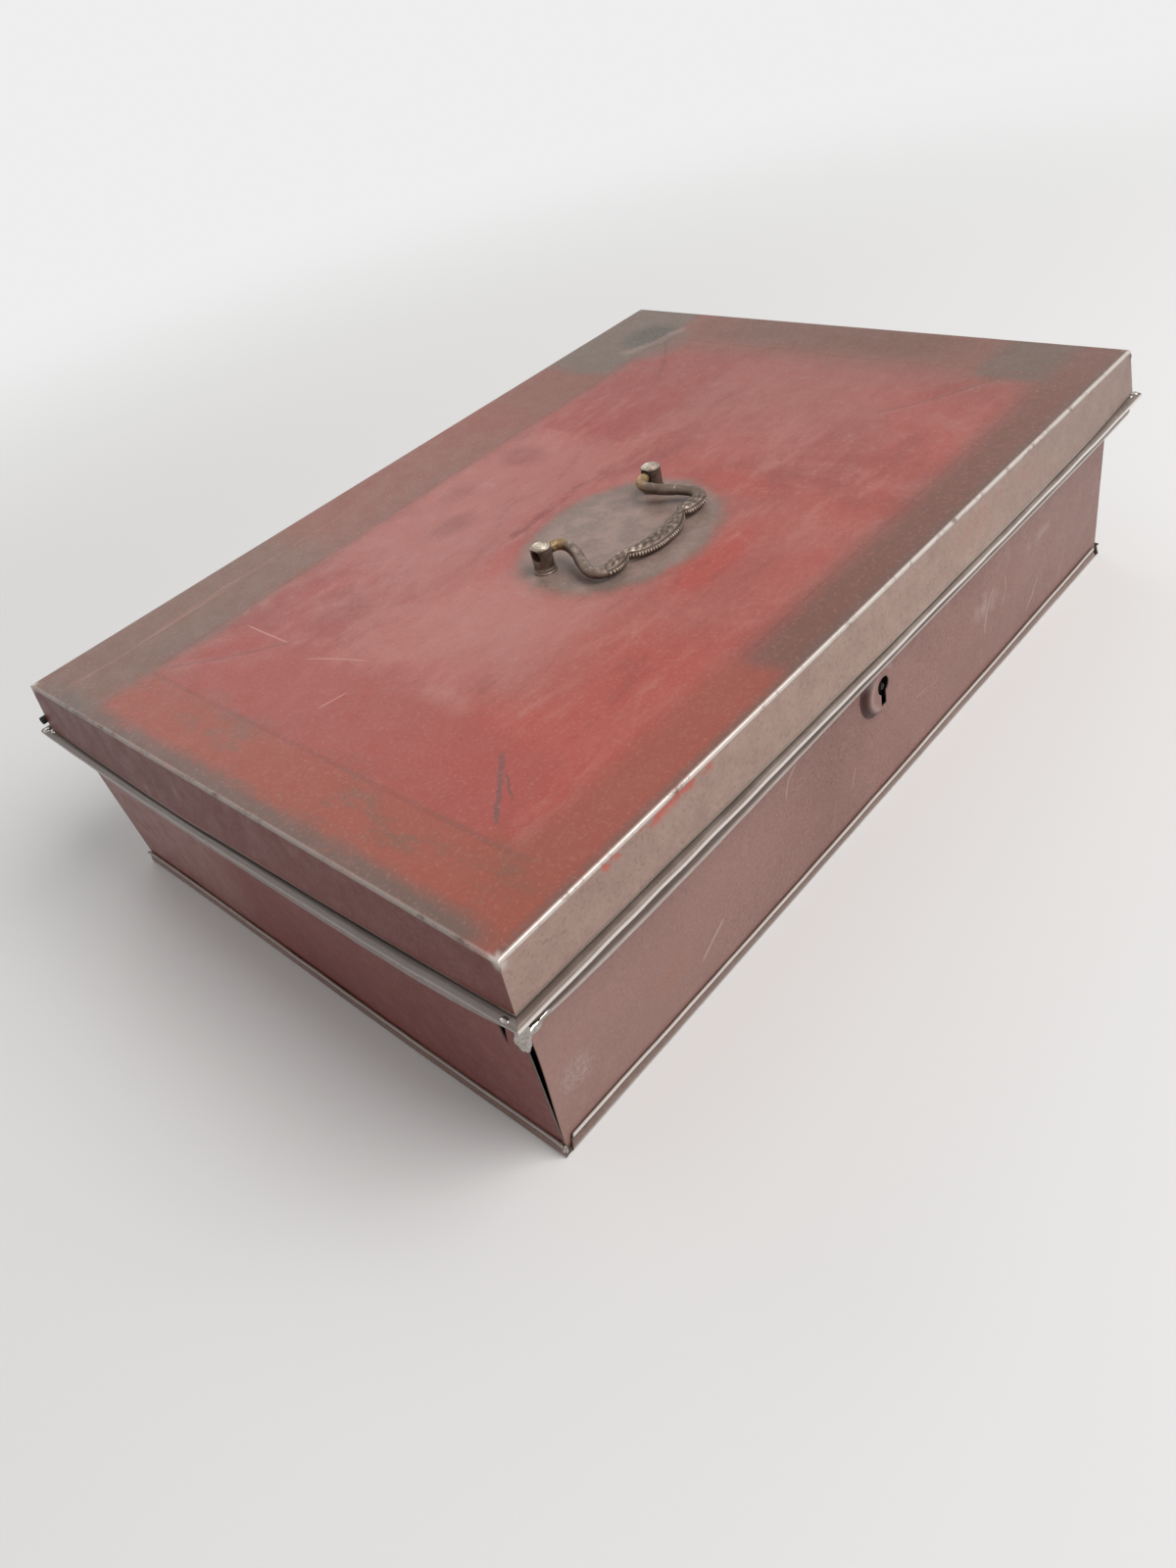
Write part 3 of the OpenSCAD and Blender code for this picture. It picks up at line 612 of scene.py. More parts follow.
def lid_top_colours(n):
    """Red paint wiped pink and rubbed through to tin, in the pattern that use has left."""
    near = n.flat(n.shaken(11, 5.5), 2)
    loose = n.flat(n.shaken(26, 18), 2)
    sharp = n.flat(n.shaken(3, 0.7), 2)
    cloud = n.step(n.noise(70, 5, 0.62, 0.6), 0.36, 0.64)
    haze = n.step(n.noise(30, 6, 0.7, 0.8), 0.42, 0.68)
    wiped = n.streaks(12, 6, 0.72, (0, 0, -38), (0.3, 1, 1))
    colour = n.mix(cloud, rgb(154, 90, 83), rgb(172, 98, 90))

    def area(across, up, soft, share=1.0, pair=None):
        return n.times(n.patch(pair or near, across, up, soft), share)

    colour = n.layered(
        colour,
        (n.times(haze, 0.6), 180, 132, 124),
        (area((-122, -46), (-70, 26), 22, 0.42, loose), 188, 142, 132),
        (area((-100, 30), (-56, 10), 18, 0.5, loose), 182, 142, 134),
        (area((57.5, 163), (32, 88), 1.6, 0.9, sharp), 160, 86, 80),
        (area((-73, 53), (28, 92), 12, 0.8, loose), 178, 127, 120),
        (area((-110, 40), (-110, -52), 26, 0.55, loose), 170, 108, 101),
        (area((70, 165), (-60, 24), 24, 0.6, loose), 168, 116, 109),
        (area((-172, -118), (-112, -50), 14, 0.6, loose), 178, 86, 72),
        (area((-130, -58), (-114, -66), 14, 0.5, loose), 180, 90, 76),
        (n.oval(loose, (-12, -70), (26, 9), 0.5, 0.6), 178, 84, 73),
        (n.oval(loose, (40, -42), (9, 20), 0.6, 0.5), 178, 88, 78),
        (n.oval(loose, (-40, 10), (20, 6), 0.6, 0.45), 172, 84, 76),
        (n.step(wiped, 0.5, 0.68, 0, 0.4), 188, 142, 132),
        (n.step(wiped, 0.46, 0.34, 0, 0.35), 138, 80, 74),
        (n.step(n.mottle, 0.58, 0.74, 0, 0.4), 192, 158, 148),
        (n.step(near[0], 50, 160, 0, 0.42), 146, 108, 100),
        (area((-260, -163), (-200, 95), 5), 162, 98, 82),
        (area((-260, 300), (94, 200), 5), 130, 106, 94),
        (area((-260, -60), (97, 200), 14, 0.7, loose), 128, 113, 99),
        (area((40, 260), (98, 200), 18, 0.6, loose), 144, 104, 92),
        (area((-70, 70), (98, 200), 16, 0.6, loose), 148, 98, 84),
        (area((161, 260), (-200, 95), 20), 130, 104, 93),
        (area((172, 260), (-60, 60), 12, 0.5, loose), 112, 98, 86),
        (area((150, 260), (-200, -113), 12), 122, 100, 90),
        (area((-62, 160), (-200, -116), 9), 122, 97, 87),
        (area((-200, -62), (-200, -113), 6, 0.8), 156, 96, 80),
        (area((-167, -127), (-101, 82), 5, 0.8), 168, 94, 86),
        (area((118, 210), (94, 142), 7, 0.9, loose), 116, 120, 110),
        (n.oval(loose, (158, 96), (22, 17), 0.3, 0.6), 120, 122, 112),
        (n.oval(near, (166, 104), (15, 13), 0.4, 0.85), 84, 92, 82),
        (n.oval(loose, (-142, 100), (26, 9), 0.4, 0.45), 122, 116, 106),
        (area((160, 202), (-118, -84), 6, 0.85, loose), 110, 109, 99),
        (n.times(n.stroke(loose, (138, 105), (184, 91), 5), 0.45), 166, 162, 152),
        (n.oval(loose, (-33, 58), (11, 8), 0.6, 0.6), 140, 84, 80),
        (n.oval(loose, (30, 72), (9, 12), 0.6, 0.55), 142, 86, 82),
        (n.oval(loose, (-10, 78), (10, 7), 0.6, 0.5), 146, 92, 86),
    )
    middle = (-10, -23)
    rim = n.less(n.oval(near, middle, (48, 40), 0.1), n.oval(near, middle, (40, 32), 0.2))
    ragged = n.flat(n.shaken(14, 9), 2)
    worn_oval = n.oval(ragged, (-10, -22), (45, 37), 0.09)
    inner = n.mix(n.step(n.noise(10, 5, 0.7), 0.35, 0.65), rgb(134, 136, 128), rgb(158, 156, 147))
    colour = n.mix(n.times(worn_oval, 0.95), colour, inner)
    return n.layered(
        colour,
        (n.times(rim, n.step(n.mottle, 0.3, 0.6), 0.6), 116, 114, 102),
        (n.times(n.stroke(loose, (-34, 20), (34, 22), 4, 4), n.step(wiped, 0.42, 0.6), 0.8), 134, 66, 60),
    )


def lid_marks(n):
    """Scratches, slashes, worn strips and painted shade along the creases of the lid's top, as (share, red,
    green, blue).
    """
    line = n.flat(n.shaken(4, 0.8), 2)
    near = n.flat(n.shaken(6, 2.6), 2)
    x, y = n.flat(n.place, 2)
    light = n.most(
        n.stroke(line, (-126.7, 85), (-126.9, 52), 0.6),
        n.stroke(line, (-131.7, 38.5), (-120, 8.5), 0.5, 1.0),
        n.stroke(line, (-150, 5), (-137, 2), 0.6),
    )
    hair = n.streaks(22, 7, 0.82, (0, 0, 33), (0.04, 1.3, 1))
    cross = n.streaks(20, 7, 0.82, (0, 0, -58), (0.05, 1.4, 1))
    fine = n.most(n.step(hair, 0.64, 0.69), n.step(cross, 0.66, 0.7))
    dark = n.most(
        n.stroke(near, (-133, -75), (-163, -101), 1.4),
        n.stroke(near, (-141, -84), (-151, -97), 0.7),
    )
    left = n.times(n.step(near[0], -HALF_X + 12, -HALF_X + 3), n.band(y, -130, 128, 10))
    front = n.times(n.step(near[1], -HALF_Y + 6, -HALF_Y + 1.5), 0.75)
    patchy = n.streaks(17, 7, 0.76, (0, 0, 62), (1, 0.4, 1))
    streaks = n.streaks(9, 6, 0.75, (0, 0, 70), (1, 0.14, 1))
    streaky = n.most(n.step(patchy, 0.5, 0.64), n.step(streaks, 0.52, 0.68, 0, 0.7))
    blotch = n.times(streaky, n.step(near[0], -148, -180), n.band(y, -128, 128, 10))
    # Painted shade: thin dark lines along the creases that frame the top
    crease = n.most(
        n.times(n.band(x, -168.3, -166.2, 0.5), n.band(y, -117, 95, 4)),
        n.times(n.band(y, 94.2, 96, 0.5), n.band(x, -167, 167, 4)),
        n.times(n.band(x, 166.2, 168, 0.5), n.band(y, -117, 95, 4)),
        n.times(n.band(y, -118, -116.4, 0.4), n.band(x, -60, 160, 8)),
    )
    # Painted shade along the diagonal creases where the top was cross broken
    broken = n.most(
        n.stroke(near, (166, 94), (118, 62), 1.6, 2),
        n.stroke(near, (-165, 94), (-124, 52), 1.4, -2),
        n.stroke(near, (162, -98), (116, -62), 1.4, 2),
    )
    return [
        (n.times(broken, 0.45), 118, 84, 76),
        (n.times(crease, 0.3), 122, 84, 76),
        (n.times(blotch, 0.62), 124, 110, 95),
        (n.times(n.most(left, front), n.step(patchy, 0.3, 0.5), 0.85), 108, 106, 98),
        (n.times(fine, 0.3), 196, 164, 152),
        (n.times(light, 0.6), 208, 178, 168),
        (n.times(dark, 0.6), 98, 92, 94),
    ]


def lid_skirt_colours(n, edge_x, edge_y):
    """The skirts: the paint rubbed to grey brown, red only where hands did not reach, and the left skirt
    painted dark red as shade, darker towards the back.
    """
    x, y = n.flat(n.place, 2)
    near = n.flat(n.shaken(5, 3.0), 1)
    colour = n.mix(n.step(n.mottle, 0.3, 0.7), rgb(150, 125, 115), rgb(163, 138, 126))
    red = n.times(n.patch(near, (-158, -106), (97.5, 110), 2.2), n.step(n.mottle, 0.46, 0.54), 0.9)
    low_red = n.times(n.patch(near, (40, 120), (90, 96), 4), n.step(n.mottle, 0.5, 0.6), 0.5)
    colour = n.layered(colour, (red, 182, 86, 74), (low_red, 158, 100, 90))
    # Painted shade: the left skirt in dark red, darker towards the back
    side = n.mix(n.step(n.mottle, 0.3, 0.7), rgb(109, 52, 46), rgb(117, 60, 54))
    side = n.mix(n.step(y, -40, 120, 0, 0.5), side, rgb(88, 38, 33))
    colour = n.layered(colour, (n.step(x, 30, 190, 0, 0.5), 128, 110, 101))
    on_left = n.times(n.step(n.less(edge_x, edge_y), 0.15, -0.15), n.step(x, 1, -1))
    colour = n.mix(on_left, colour, side)
    return n.layered(
        colour,
        (n.step(n.speckle, 0.5, 0.66, 0, 0.45), 122, 96, 86),
        (n.times(n.step(n.mottle, 0.6, 0.76), 0.22), 178, 162, 150),
    )


def lid_paint():
    """Paint of the lid: red and pink on top, worn grey on the skirts, bright along the folds and the
    skirts' hems with wear and a painted highlight, strongest at the front.
    """
    n = Paint("lid_paint")
    x, y, z = n.axes()
    n.speckle, n.mottle = n.noise(1.4, 5, 0.72), n.noise(9, 6, 0.72)
    top = n.layered(lid_top_colours(n), *lid_marks(n))
    top = n.layered(
        top,
        (n.step(n.speckle, 0.52, 0.7, 0, 0.32), 196, 160, 150),
        (n.step(n.speckle, 0.44, 0.3, 0, 0.32), 122, 80, 74),
    )
    top = n.mix(1.0, top, rgb(241, 211, 207), blend="MULTIPLY")
    edge_x, edge_y = (n.less(half, n.math("ABSOLUTE", place)) for half, place in ((HALF_X, x), (HALF_Y, y)))
    colour = n.mix(n.step(z, LID_Z - 1.3, LID_Z - 2.1), top, lid_skirt_colours(n, edge_x, edge_y))
    edge = n.math("MINIMUM", edge_x, edge_y)
    fold = n.times(n.step(edge, 1.5, 0.2), n.step(z, LID_Z - 2.0, LID_Z - 0.9))
    # Painted highlight: the folds' bright wear is made stronger at the front fold
    bright = n.step(y, -HALF_Y + 6, -HALF_Y + 2, 0.35, 0.8)
    wear_and_highlight = n.times(fold, n.step(n.noise(12, 5, 0.7), 0.32, 0.5), bright)
    apex = n.times(n.step(n.math("MAXIMUM", edge_x, edge_y), 4, 1), n.step(z, LID_Z - 5, LID_Z - 1.5), 0.6)
    wear_and_highlight = n.most(wear_and_highlight, n.times(apex, n.step(n.mottle, 0.38, 0.56)))
    low = n.step(n.mark("hem"), 0.94, 0.99)
    colour = n.layered(
        colour,
        # A bright line of wear and painted highlight on the skirts' hems, stronger at the front
        (n.times(low, n.step(y, -HALF_Y + 6, -HALF_Y + 2, 0.3, 0.8)), 186, 176, 166),
        (n.times(wear_and_highlight, 0.95), 224, 216, 208),
    )
    normal = n.bump(n.speckle, 0.3, 0.1, n.bump(n.mottle, 0.1, 0.5))
    rough = n.step(n.mottle, 0.3, 0.7, 0.46, 0.34)
    return n.finish(colour, rough, n.times(wear_and_highlight, 0.6), normal, Specular_IOR_Level=0.25)


def cast_metal():
    """Dull cast brass: brown in the hollows, pale on the crests, golden at the bail's roots."""
    n = Paint("cast_metal")
    relief, gold = n.mark("relief"), n.mark("gold")
    cloud = n.noise(5, 5, 0.65)
    grain = n.noise(0.7, 4, 0.7)
    height = n.plus(relief, n.times(n.less(cloud, 0.5), 0.9))
    colour = n.mix(n.step(height, 0.15, 0.55), rgb(62, 47, 39), rgb(110, 92, 80))
    colour = n.layered(
        colour,
        (n.step(height, 0.52, 0.88, 0, 0.95), 208, 194, 176),
        (n.step(grain, 0.56, 0.72, 0, 0.5), 72, 56, 48),
        (n.times(gold, n.step(cloud, 0.32, 0.5), 0.6), 182, 146, 90),
    )
    rough = n.step(height, 0.2, 0.9, 0.5, 0.34)
    return n.finish(colour, rough, 0.45, n.bump(grain, 0.3, 0.08))


def solder_metal():
    """Solder: dull grey white with yellow and rust stains."""
    n = Paint("solder")
    cloud = n.noise(3, 5, 0.7)
    stain = n.noise(1.2, 4, 0.7)
    colour = n.mix(n.step(cloud, 0.35, 0.62), rgb(146, 138, 130), rgb(186, 181, 175))
    colour = n.layered(
        colour,
        (n.step(stain, 0.62, 0.72, 0, 0.6), 168, 128, 78),
        (n.step(stain, 0.38, 0.3, 0, 0.4), 104, 92, 80),
    )
    return n.finish(colour, 0.17, 0.95, n.bump(cloud, 0.05, 0.1))


INSIDE_PAINT = inside_paint()
FRONT_PAINT = body_paint("front_paint", (130, 94, 86), (147, 109, 101), (169, 133, 121), marks=front_marks)
# The near end's paint is a darker, redder copy of the body's paint: painted shade, reddened as by reflected
# red light, with its tin darkened and its highlights dimmed by the tin share
SHADED_LEFT_PAINT = body_paint("shaded_left_paint", (108, 46, 41), (124, 63, 57), (140, 88, 80), 0.76, left_marks)
PLAIN_PAINT = body_paint("plain_paint", (128, 102, 95), (146, 118, 110), (168, 138, 126))
LID_PAINT = lid_paint()
CAST_METAL = cast_metal()
SOLDER = solder_metal()
DARK_STEEL = plain_metal("dark_steel", (70, 64, 60), (104, 98, 92), 16, 0.5, 0.5)
BLACK_STEEL = plain_metal("black_steel", (26, 23, 21), (38, 34, 31), 12, 0.75, 0.15)
BARE_STEEL = plain_metal("bare_steel", (112, 108, 103), (150, 146, 140), 20, 0.42, 0.7)
LOCK_BRASS = plain_metal("lock_brass", (118, 96, 54), (170, 146, 92), 11, 0.38, 0.8)


# Bent sheet: the rim's section, and the four side panels made from it


def rim_section(inset, shaded=30, ledge_wear_and_highlight=0):
    """The rim and wall from the neck's top down: (outwards, height, bare, wear and painted highlight,
    painted shade).

    The nose shades the bead above an angle, where painted shade is laid; the neck under the lid's edge, the
    groove and the nose's underside carry painted shade too.
    """
    up, level, down = math.pi / 2, math.pi, 1.5 * math.pi
    rows = [(-NECK_INSET, LEDGE_Z + NECK_HEIGHT - NECK_HEIGHT * i / 4, 1, 0, 0.6) for i in range(4)]
    rows += [(o, z, 1, 0, 0.8) for o, z in arc(0.5 - NECK_INSET, LEDGE_Z + 0.5, 0.5, level, down, 4)]
    # The ledge: painted shade on its inner part, under the lid's edge, and on the near end a lighter band
    # of wear and painted highlight
    ledge = (0.25, 0, 0.8), (1.5, 0.5 * ledge_wear_and_highlight, 0.4), (2.5, ledge_wear_and_highlight, 0)
    rows += [(o, LEDGE_Z, 1, wear_and_highlight, painted_shade) for o, wear_and_highlight, painted_shade in ledge]
    # The nose: wear and a painted highlight on its lower front, painted shade on its underside
    for a in turns(up, -up, 14):
        wear_and_highlight = max(smooth_turn(40, 14, a) * smooth_turn(-82, -52, a), ledge_wear_and_highlight)
        o = LEDGE_REACH - NOSE_GAP - NOSE_R + NOSE_R * math.cos(a)
        rows.append((o, LEDGE_Z - NOSE_R + NOSE_R * math.sin(a), 1, wear_and_highlight, smooth_turn(-74, -88, a)))
    # The groove under the nose: painted shade
    rows.append((GROOVE_REACH + 0.6, GROOVE_Z, 0.8, 0, 1))
    rows += [(o, z, 0.7, 0, 1) for o, z in arc(GROOVE_REACH + 0.4, GROOVE_Z - 0.4, 0.4, up, level, 4)]
    # The bead: painted shade where the nose shades it, above the shaded angle, and wear with a painted
    # highlight lower on its crest
    for a in turns(BEAD_TOP_ANGLE, BEAD_LOW_ANGLE, 16):
        wear_and_highlight = 0.6 * smooth_turn(shaded - 9, shaded - 17, a) * smooth_turn(-44, -20, a)
        painted_shade = 0.6 * smooth_turn(shaded - 9, shaded, a)
        bare = 0.3 + 0.3 * smooth_turn(-58, -25, a)
        rows.append((BEAD_X + BEAD_R * math.cos(a), BEAD_Z + BEAD_R * math.sin(a), bare, wear_and_highlight, painted_shade))
    corner = BEAD_LOW_Z - WALL_SLOPE * (inset + BEAD_LOW_X)
    below = corner - FOOT_BEND
    knee = (BEAD_LOW_X, BEAD_LOW_Z), (-inset, corner), (-inset, below)
    # The bend down to the wall, with a little painted shade in its middle
    for i in range(1, 9):
        t = i / 8
        place = ((1 - t) ** 2 * a + 2 * t * (1 - t) * b + t * t * c for a, b, c in zip(*knee))
        rows.append((*place, 0.3 - 0.3 * t, 0, 0.3 * t * (1 - t)))
    for high, low, count in ((below, WINDOW_LOW, 19), (WINDOW_LOW, SHEET, 12)):
        rows += [(-inset, high + (low - high) * i / count, 0, 0, 0) for i in range(1, count + 1)]
    return rows


def out_at(section, z):
    """How far out the section's wall is at a height below the bead."""
    below = [p for p in section if p[1] <= BEAD_LOW_Z + 1e-6]
    for (o0, z0, *_), (o1, z1, *_) in zip(below, below[1:]):
        if z0 >= z >= z1:
            return o0 + (o1 - o0) * (z0 - z) / max(z0 - z1, 1e-6)
    return below[0][0] if z > below[0][1] else below[-1][0]


# What the paints read at each point of a body skin, in the order of the section's last values
MARKS = ("rim", "wear_and_highlight", "painted_shade")
# Each side's run and its way out, seen from above
SIDES = {
    "front": ((1, 0), (0, -1)),
    "right": ((0, 1), (1, 0)),
    "back": ((-1, 0), (0, 1)),
    "left": ((0, -1), (-1, 0)),
}
LONG_SIDES = ("front", "back")
SEEDS = {"front": 1, "back": 2, "left": 3, "right": 4}


def along(side, s):
    """The coordinate that the side's tables use, from the distance along its run."""
    return s * sum(SIDES[side][0])


def half_sizes(side, x=HALF_X, y=HALF_Y):
    """Half of a side's length, and how far it is from the middle."""
    return (x, y) if side in LONG_SIDES else (y, x)


def placed(side, s, out, z):
    """A point from its place along a side and its distance outwards."""
    run, way = SIDES[side]
    return run[0] * s + way[0] * out, run[1] * s + way[1] * out, z


def leant(x, y, z):
    """The left wall's foot leans in towards the back."""
    share = smooth(-90, 138, y) * max(0, 1 - z / 70) * smooth(-60, -190, x)
    return x + LEAN * share, y, z


def boss_distance(s, z):
    return math.hypot(s - BOSS_X, z - BOSS_Z)


def wall_push(side, s, z, half_run):
    """How far a wall is pushed outwards by its dents, bulges and swollen bead."""
    inner = 1 - min(abs(s) / half_run, 1) ** 10
    flat = smooth(0, 12, z) * (1 - smooth(58, 70, z))
    seed = SEEDS[side]
    dent = wave(s, seed * 31, z, 62, seed) * 0.7 * flat + wave(s, seed * 17, z, 24, seed + 3) * 0.16 * flat
    if side == "front":
        dent *= smooth(13, 30, boss_distance(s, z))
        dent += track(FOOT_BULGE, s) * (1 - smooth(26, 52, z)) * smooth(0, 6, z)
    dent += track(BEAD_SWELL[side], along(side, s)) * smooth(66, 71, z) * (1 - smooth(76.8, 77.6, z))
    if z > GROOVE_Z - 1:
        return min(0, wave(s, seed * 11, z, 16, seed + 6) * 0.35 - 0.1) * inner
    return dent * inner + wave(s, seed * 23, z, 9, seed + 8) * 0.07 * inner


def wall_point(side, s, o, z, v):
    """Where a point of a panel's section goes: sagged, pushed and leant."""
    half_run, half_out = half_sizes(side)
    sink = track(SAG[side], along(side, s)) * smooth(30, 74, z)
    if side == "front":
        sink *= max(smooth(8, 17, boss_distance(s, z)), smooth(66, 74, z))
    swell = track(BEAD_SWELL[side], along(side, s)) * smooth(65, 70, z) * (1 - smooth(72, 75, z))
    sink += 0.8 * swell * (1 - abs(v) ** 12)
    return leant(*placed(side, s, half_out + o + wall_push(side, s, z, half_run), z - sink))


def near_gap(z):
    """The near corner's seam has sprung open below the bead."""
    return (0.2 + 2.4 * smooth(-8, 52, z)) * smooth(BEAD_LOW_Z + 0.5, BEAD_LOW_Z - 2, z)


def panel_points(side, stations, gap=None):
    """Points of a side panel: its section at each station, mitred into its neighbours."""
    own_inset, other_inset = half_sizes(side, SIDE_INSET, END_INSET)
    own = rim_section(own_inset, *{"front": (9, 0), "left": (42, 0.45)}.get(side, ()))
    other = rim_section(other_inset)
    half_run = half_sizes(side)[0]
    points = []
    for s0 in stations:
        v = s0 / half_run
        for o, z, *_ in own:
            reach = o if z > BEAD_LOW_Z else out_at(other, z)
            s = s0 + signed(reach * max(0, (abs(v) - 0.85) / 0.15), v)
            if gap and v < 0:
                s += gap(z) * smooth(-0.95, -1, v)
            points.append(wall_point(side, s, o, z, v))
    marks = {key: [row[k] for _ in stations for row in own] for k, key in enumerate(MARKS, 2)}
    return points, grid_faces(len(stations), len(own)), marks, own


def stations_between(*knots):
    """Stations from (place, count) knots: each stretch is divided evenly."""
    places = []
    for (low, count), (high, _) in zip(knots, knots[1:]):
        places += even(low, high, count)
    return places + [knots[-1][0]]


def nearest(places, target):
    """Which of some places is nearest to a target."""
    return min(range(len(places)), key=lambda k: abs(places[k] - target))


def body_skin(node, points, faces, marks, paint, thickness=SHEET, sharp=50):
    """A painted skin of the body, in place of its CAD node."""
    paints = [paint, INSIDE_PAINT]
    piece = mesh_piece(node + "_skin", points, faces, "trunk_body", paints, marks)
    drop_loose(piece)
    thicken(piece, thickness)
    keep_sharp(piece, sharp)
    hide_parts(node)


def keyhole_radius(a):
    """The keyhole's outline at an angle from straight down."""
    a = abs(a)
    if a < math.atan2(KEY_SLOT / 2, KEY_DROP):
        return KEY_DROP / math.cos(a)
    return KEY_R if a > math.pi / 2 else max(KEY_SLOT / 2 / math.sin(a), KEY_R)


def boss_out(own, x, z):
    """How far out the front stands round the boss, eased where the boss meets the bead."""
    wall = out_at(own, z)
    top = BOSS_HEIGHT * (1 - smooth(BOSS_FLAT, BOSS_R, boss_distance(x, z))) - SIDE_INSET
    half = (top - wall) / 2
    return wall + half + math.hypot(half, 0.2) - 0.2


def front_panel():
    low, high = WINDOW_X
    stations = stations_between((-HALF_X, 20), (-190, 62), (low, 30), (high, 66), (190, 10), (HALF_X, 0))
    points, faces, marks, own = panel_points("front", stations, near_gap)
    rows = len(own)
    heights = [row[1] for row in own]
    c0, c1 = (nearest(stations, x) for x in WINDOW_X)
    r0, r1 = (nearest(heights, z) for z in (BEAD_LOW_Z, WINDOW_LOW))

    def in_window(face):
        c, r = divmod(face[0], rows)
        return c0 <= c < c1 and r0 <= r < r1

    faces = [f for f in faces if not in_window(f)]
    # Clockwise round the window, seen from outside
    loop = [(c0, r) for r in range(r1, r0, -1)] + [(c, r0) for c in range(c0, c1)]
    loop += [(c1, r) for r in range(r0, r1)] + [(c, r1) for c in range(c1, c0, -1)]
    previous = [c * rows + r for c, r in loop]
    rings = 26
    for m in range(1, rings + 1):
        t = (m / rings) ** 0.85
        ring = []
        for c, r in loop:
            x, z = stations[c], heights[r]
            a = math.atan2(x - BOSS_X, KEY_Z - z)
            reach = keyhole_radius(a)
            px = x + (BOSS_X + reach * math.sin(a) - x) * t
            pz = z + (KEY_Z - reach * math.cos(a) - z) * t
            edge = smooth(0, 0.12, t)
            o = out_at(own, pz) * (1 - edge) + boss_out(own, px, pz) * edge
            ring.append(len(points))
            points.append(wall_point("front", px, o, pz, px / HALF_X))
            for key, value in zip(MARKS, (0.35 * smooth(66, 70, pz), 0, 0)):
                marks[key].append(value)
        faces += joined(previous, ring)
        previous = ring
    body_skin("front_panel", points, faces, marks, FRONT_PAINT)


# The tear under the near end's bead: middle, width, lowest and highest point
TEAR_Y = 125.25
TEAR_WIDTH = 4.0
TEAR_LOW = 53
TEAR_HIGH = 70.5


def left_end_panel():
    """The near end, with a small tear under its bead by the corner."""
    stations = stations_between((-HALF_Y, 12), (-128, 68), (TEAR_Y - 5.25, 37), (HALF_Y, 0))
    points, faces, marks, own = panel_points("left", stations)
    rows = len(own)
    for i, (x, y, z) in enumerate(points):
        away = stations[i // rows] - TEAR_Y
        height = own[i % rows][1]
        open_share = min(max((height - TEAR_LOW) / 11, 0), 1) * smooth(TEAR_HIGH + 1.5, TEAR_HIGH, height)
        push = TEAR_WIDTH / 2 * open_share
        points[i] = (x, y - signed(push * max(0, 1 - abs(away) / 5), away), z)
    last = max(c for c, s in enumerate(stations) if s < TEAR_Y)

    def torn(face):
        columns = {i // rows for i in face}
        heights = [own[i % rows][1] for i in face]
        return columns == {last, last + 1} and min(heights) > TEAR_LOW - 1 and max(heights) < TEAR_HIGH + 1

    faces = [f for f in faces if not torn(f)]
    body_skin("left_end_panel", points, faces, marks, SHADED_LEFT_PAINT)


def plain_panel(side, node, half, inner):
    stations = stations_between((-half, 12), (-inner, 66), (inner, 12), (half, 0))
    points, faces, marks, _ = panel_points(side, stations)
    body_skin(node, points, faces, marks, PLAIN_PAINT)


def corner_tabs():
    """The end panels' edges turned in behind the front and the back."""
    points, faces = [], []
    heights = even(1.4, 60, 16) + [60]
    for side_x in (-1, 1):
        for side_y in (-1, 1):
            # At the near corner the tab has broken off with the seam
            if side_x + side_y == -2:
                continue
            start = len(points)
            for i in range(4):
                x = side_x * (WALL_X - 0.2 - TAB_WIDTH * i / 3)
                y = side_y * (WALL_Y - 1.0)
                points += [leant(x, y, z) for z in heights]
            faces += shifted(grid_faces(4, len(heights)), start, side_x * side_y > 0)
    piece = mesh_piece("corner_tabs", points, faces, "trunk_body", [INSIDE_PAINT])
    thicken(piece)
    piece.modifiers["sheet"].material_offset = 0
    piece.modifiers["sheet"].material_offset_rim = 0


# Outside of the pan's turned up edge, as (outwards from the wall, height, bare, wear and painted highlight,
# painted shade)
PAN_EDGE = [
    (1.0, 0.0, 0.6, 0, 0.3), (1.4, 0.3, 0.7, 0.5, 0), (1.6, 0.8, 0.8, 0.6, 0), (1.35, 1.5, 0.5, 0.1, 0),
    (1.1, 2.8, 0.4, 0, 0.1), (0.8, 4.2, 0.5, 0, 0.3), (0.72, 4.7, 0.6, 0, 0.7), (1.05, 5.0, 0.9, 0.3, 0),
    (1.3, 5.35, 1, 1, 0), (1.32, 5.75, 1, 1, 0), (1.1, 6.1, 1, 0.6, 0), (0.7, 6.35, 0.8, 0, 0.3),
    (0.35, 6.4, 0.2, 0, 0.8), (0.05, 6.2, 0.2, 0, 0.8),
]
PAN_NOTCH = 1.6


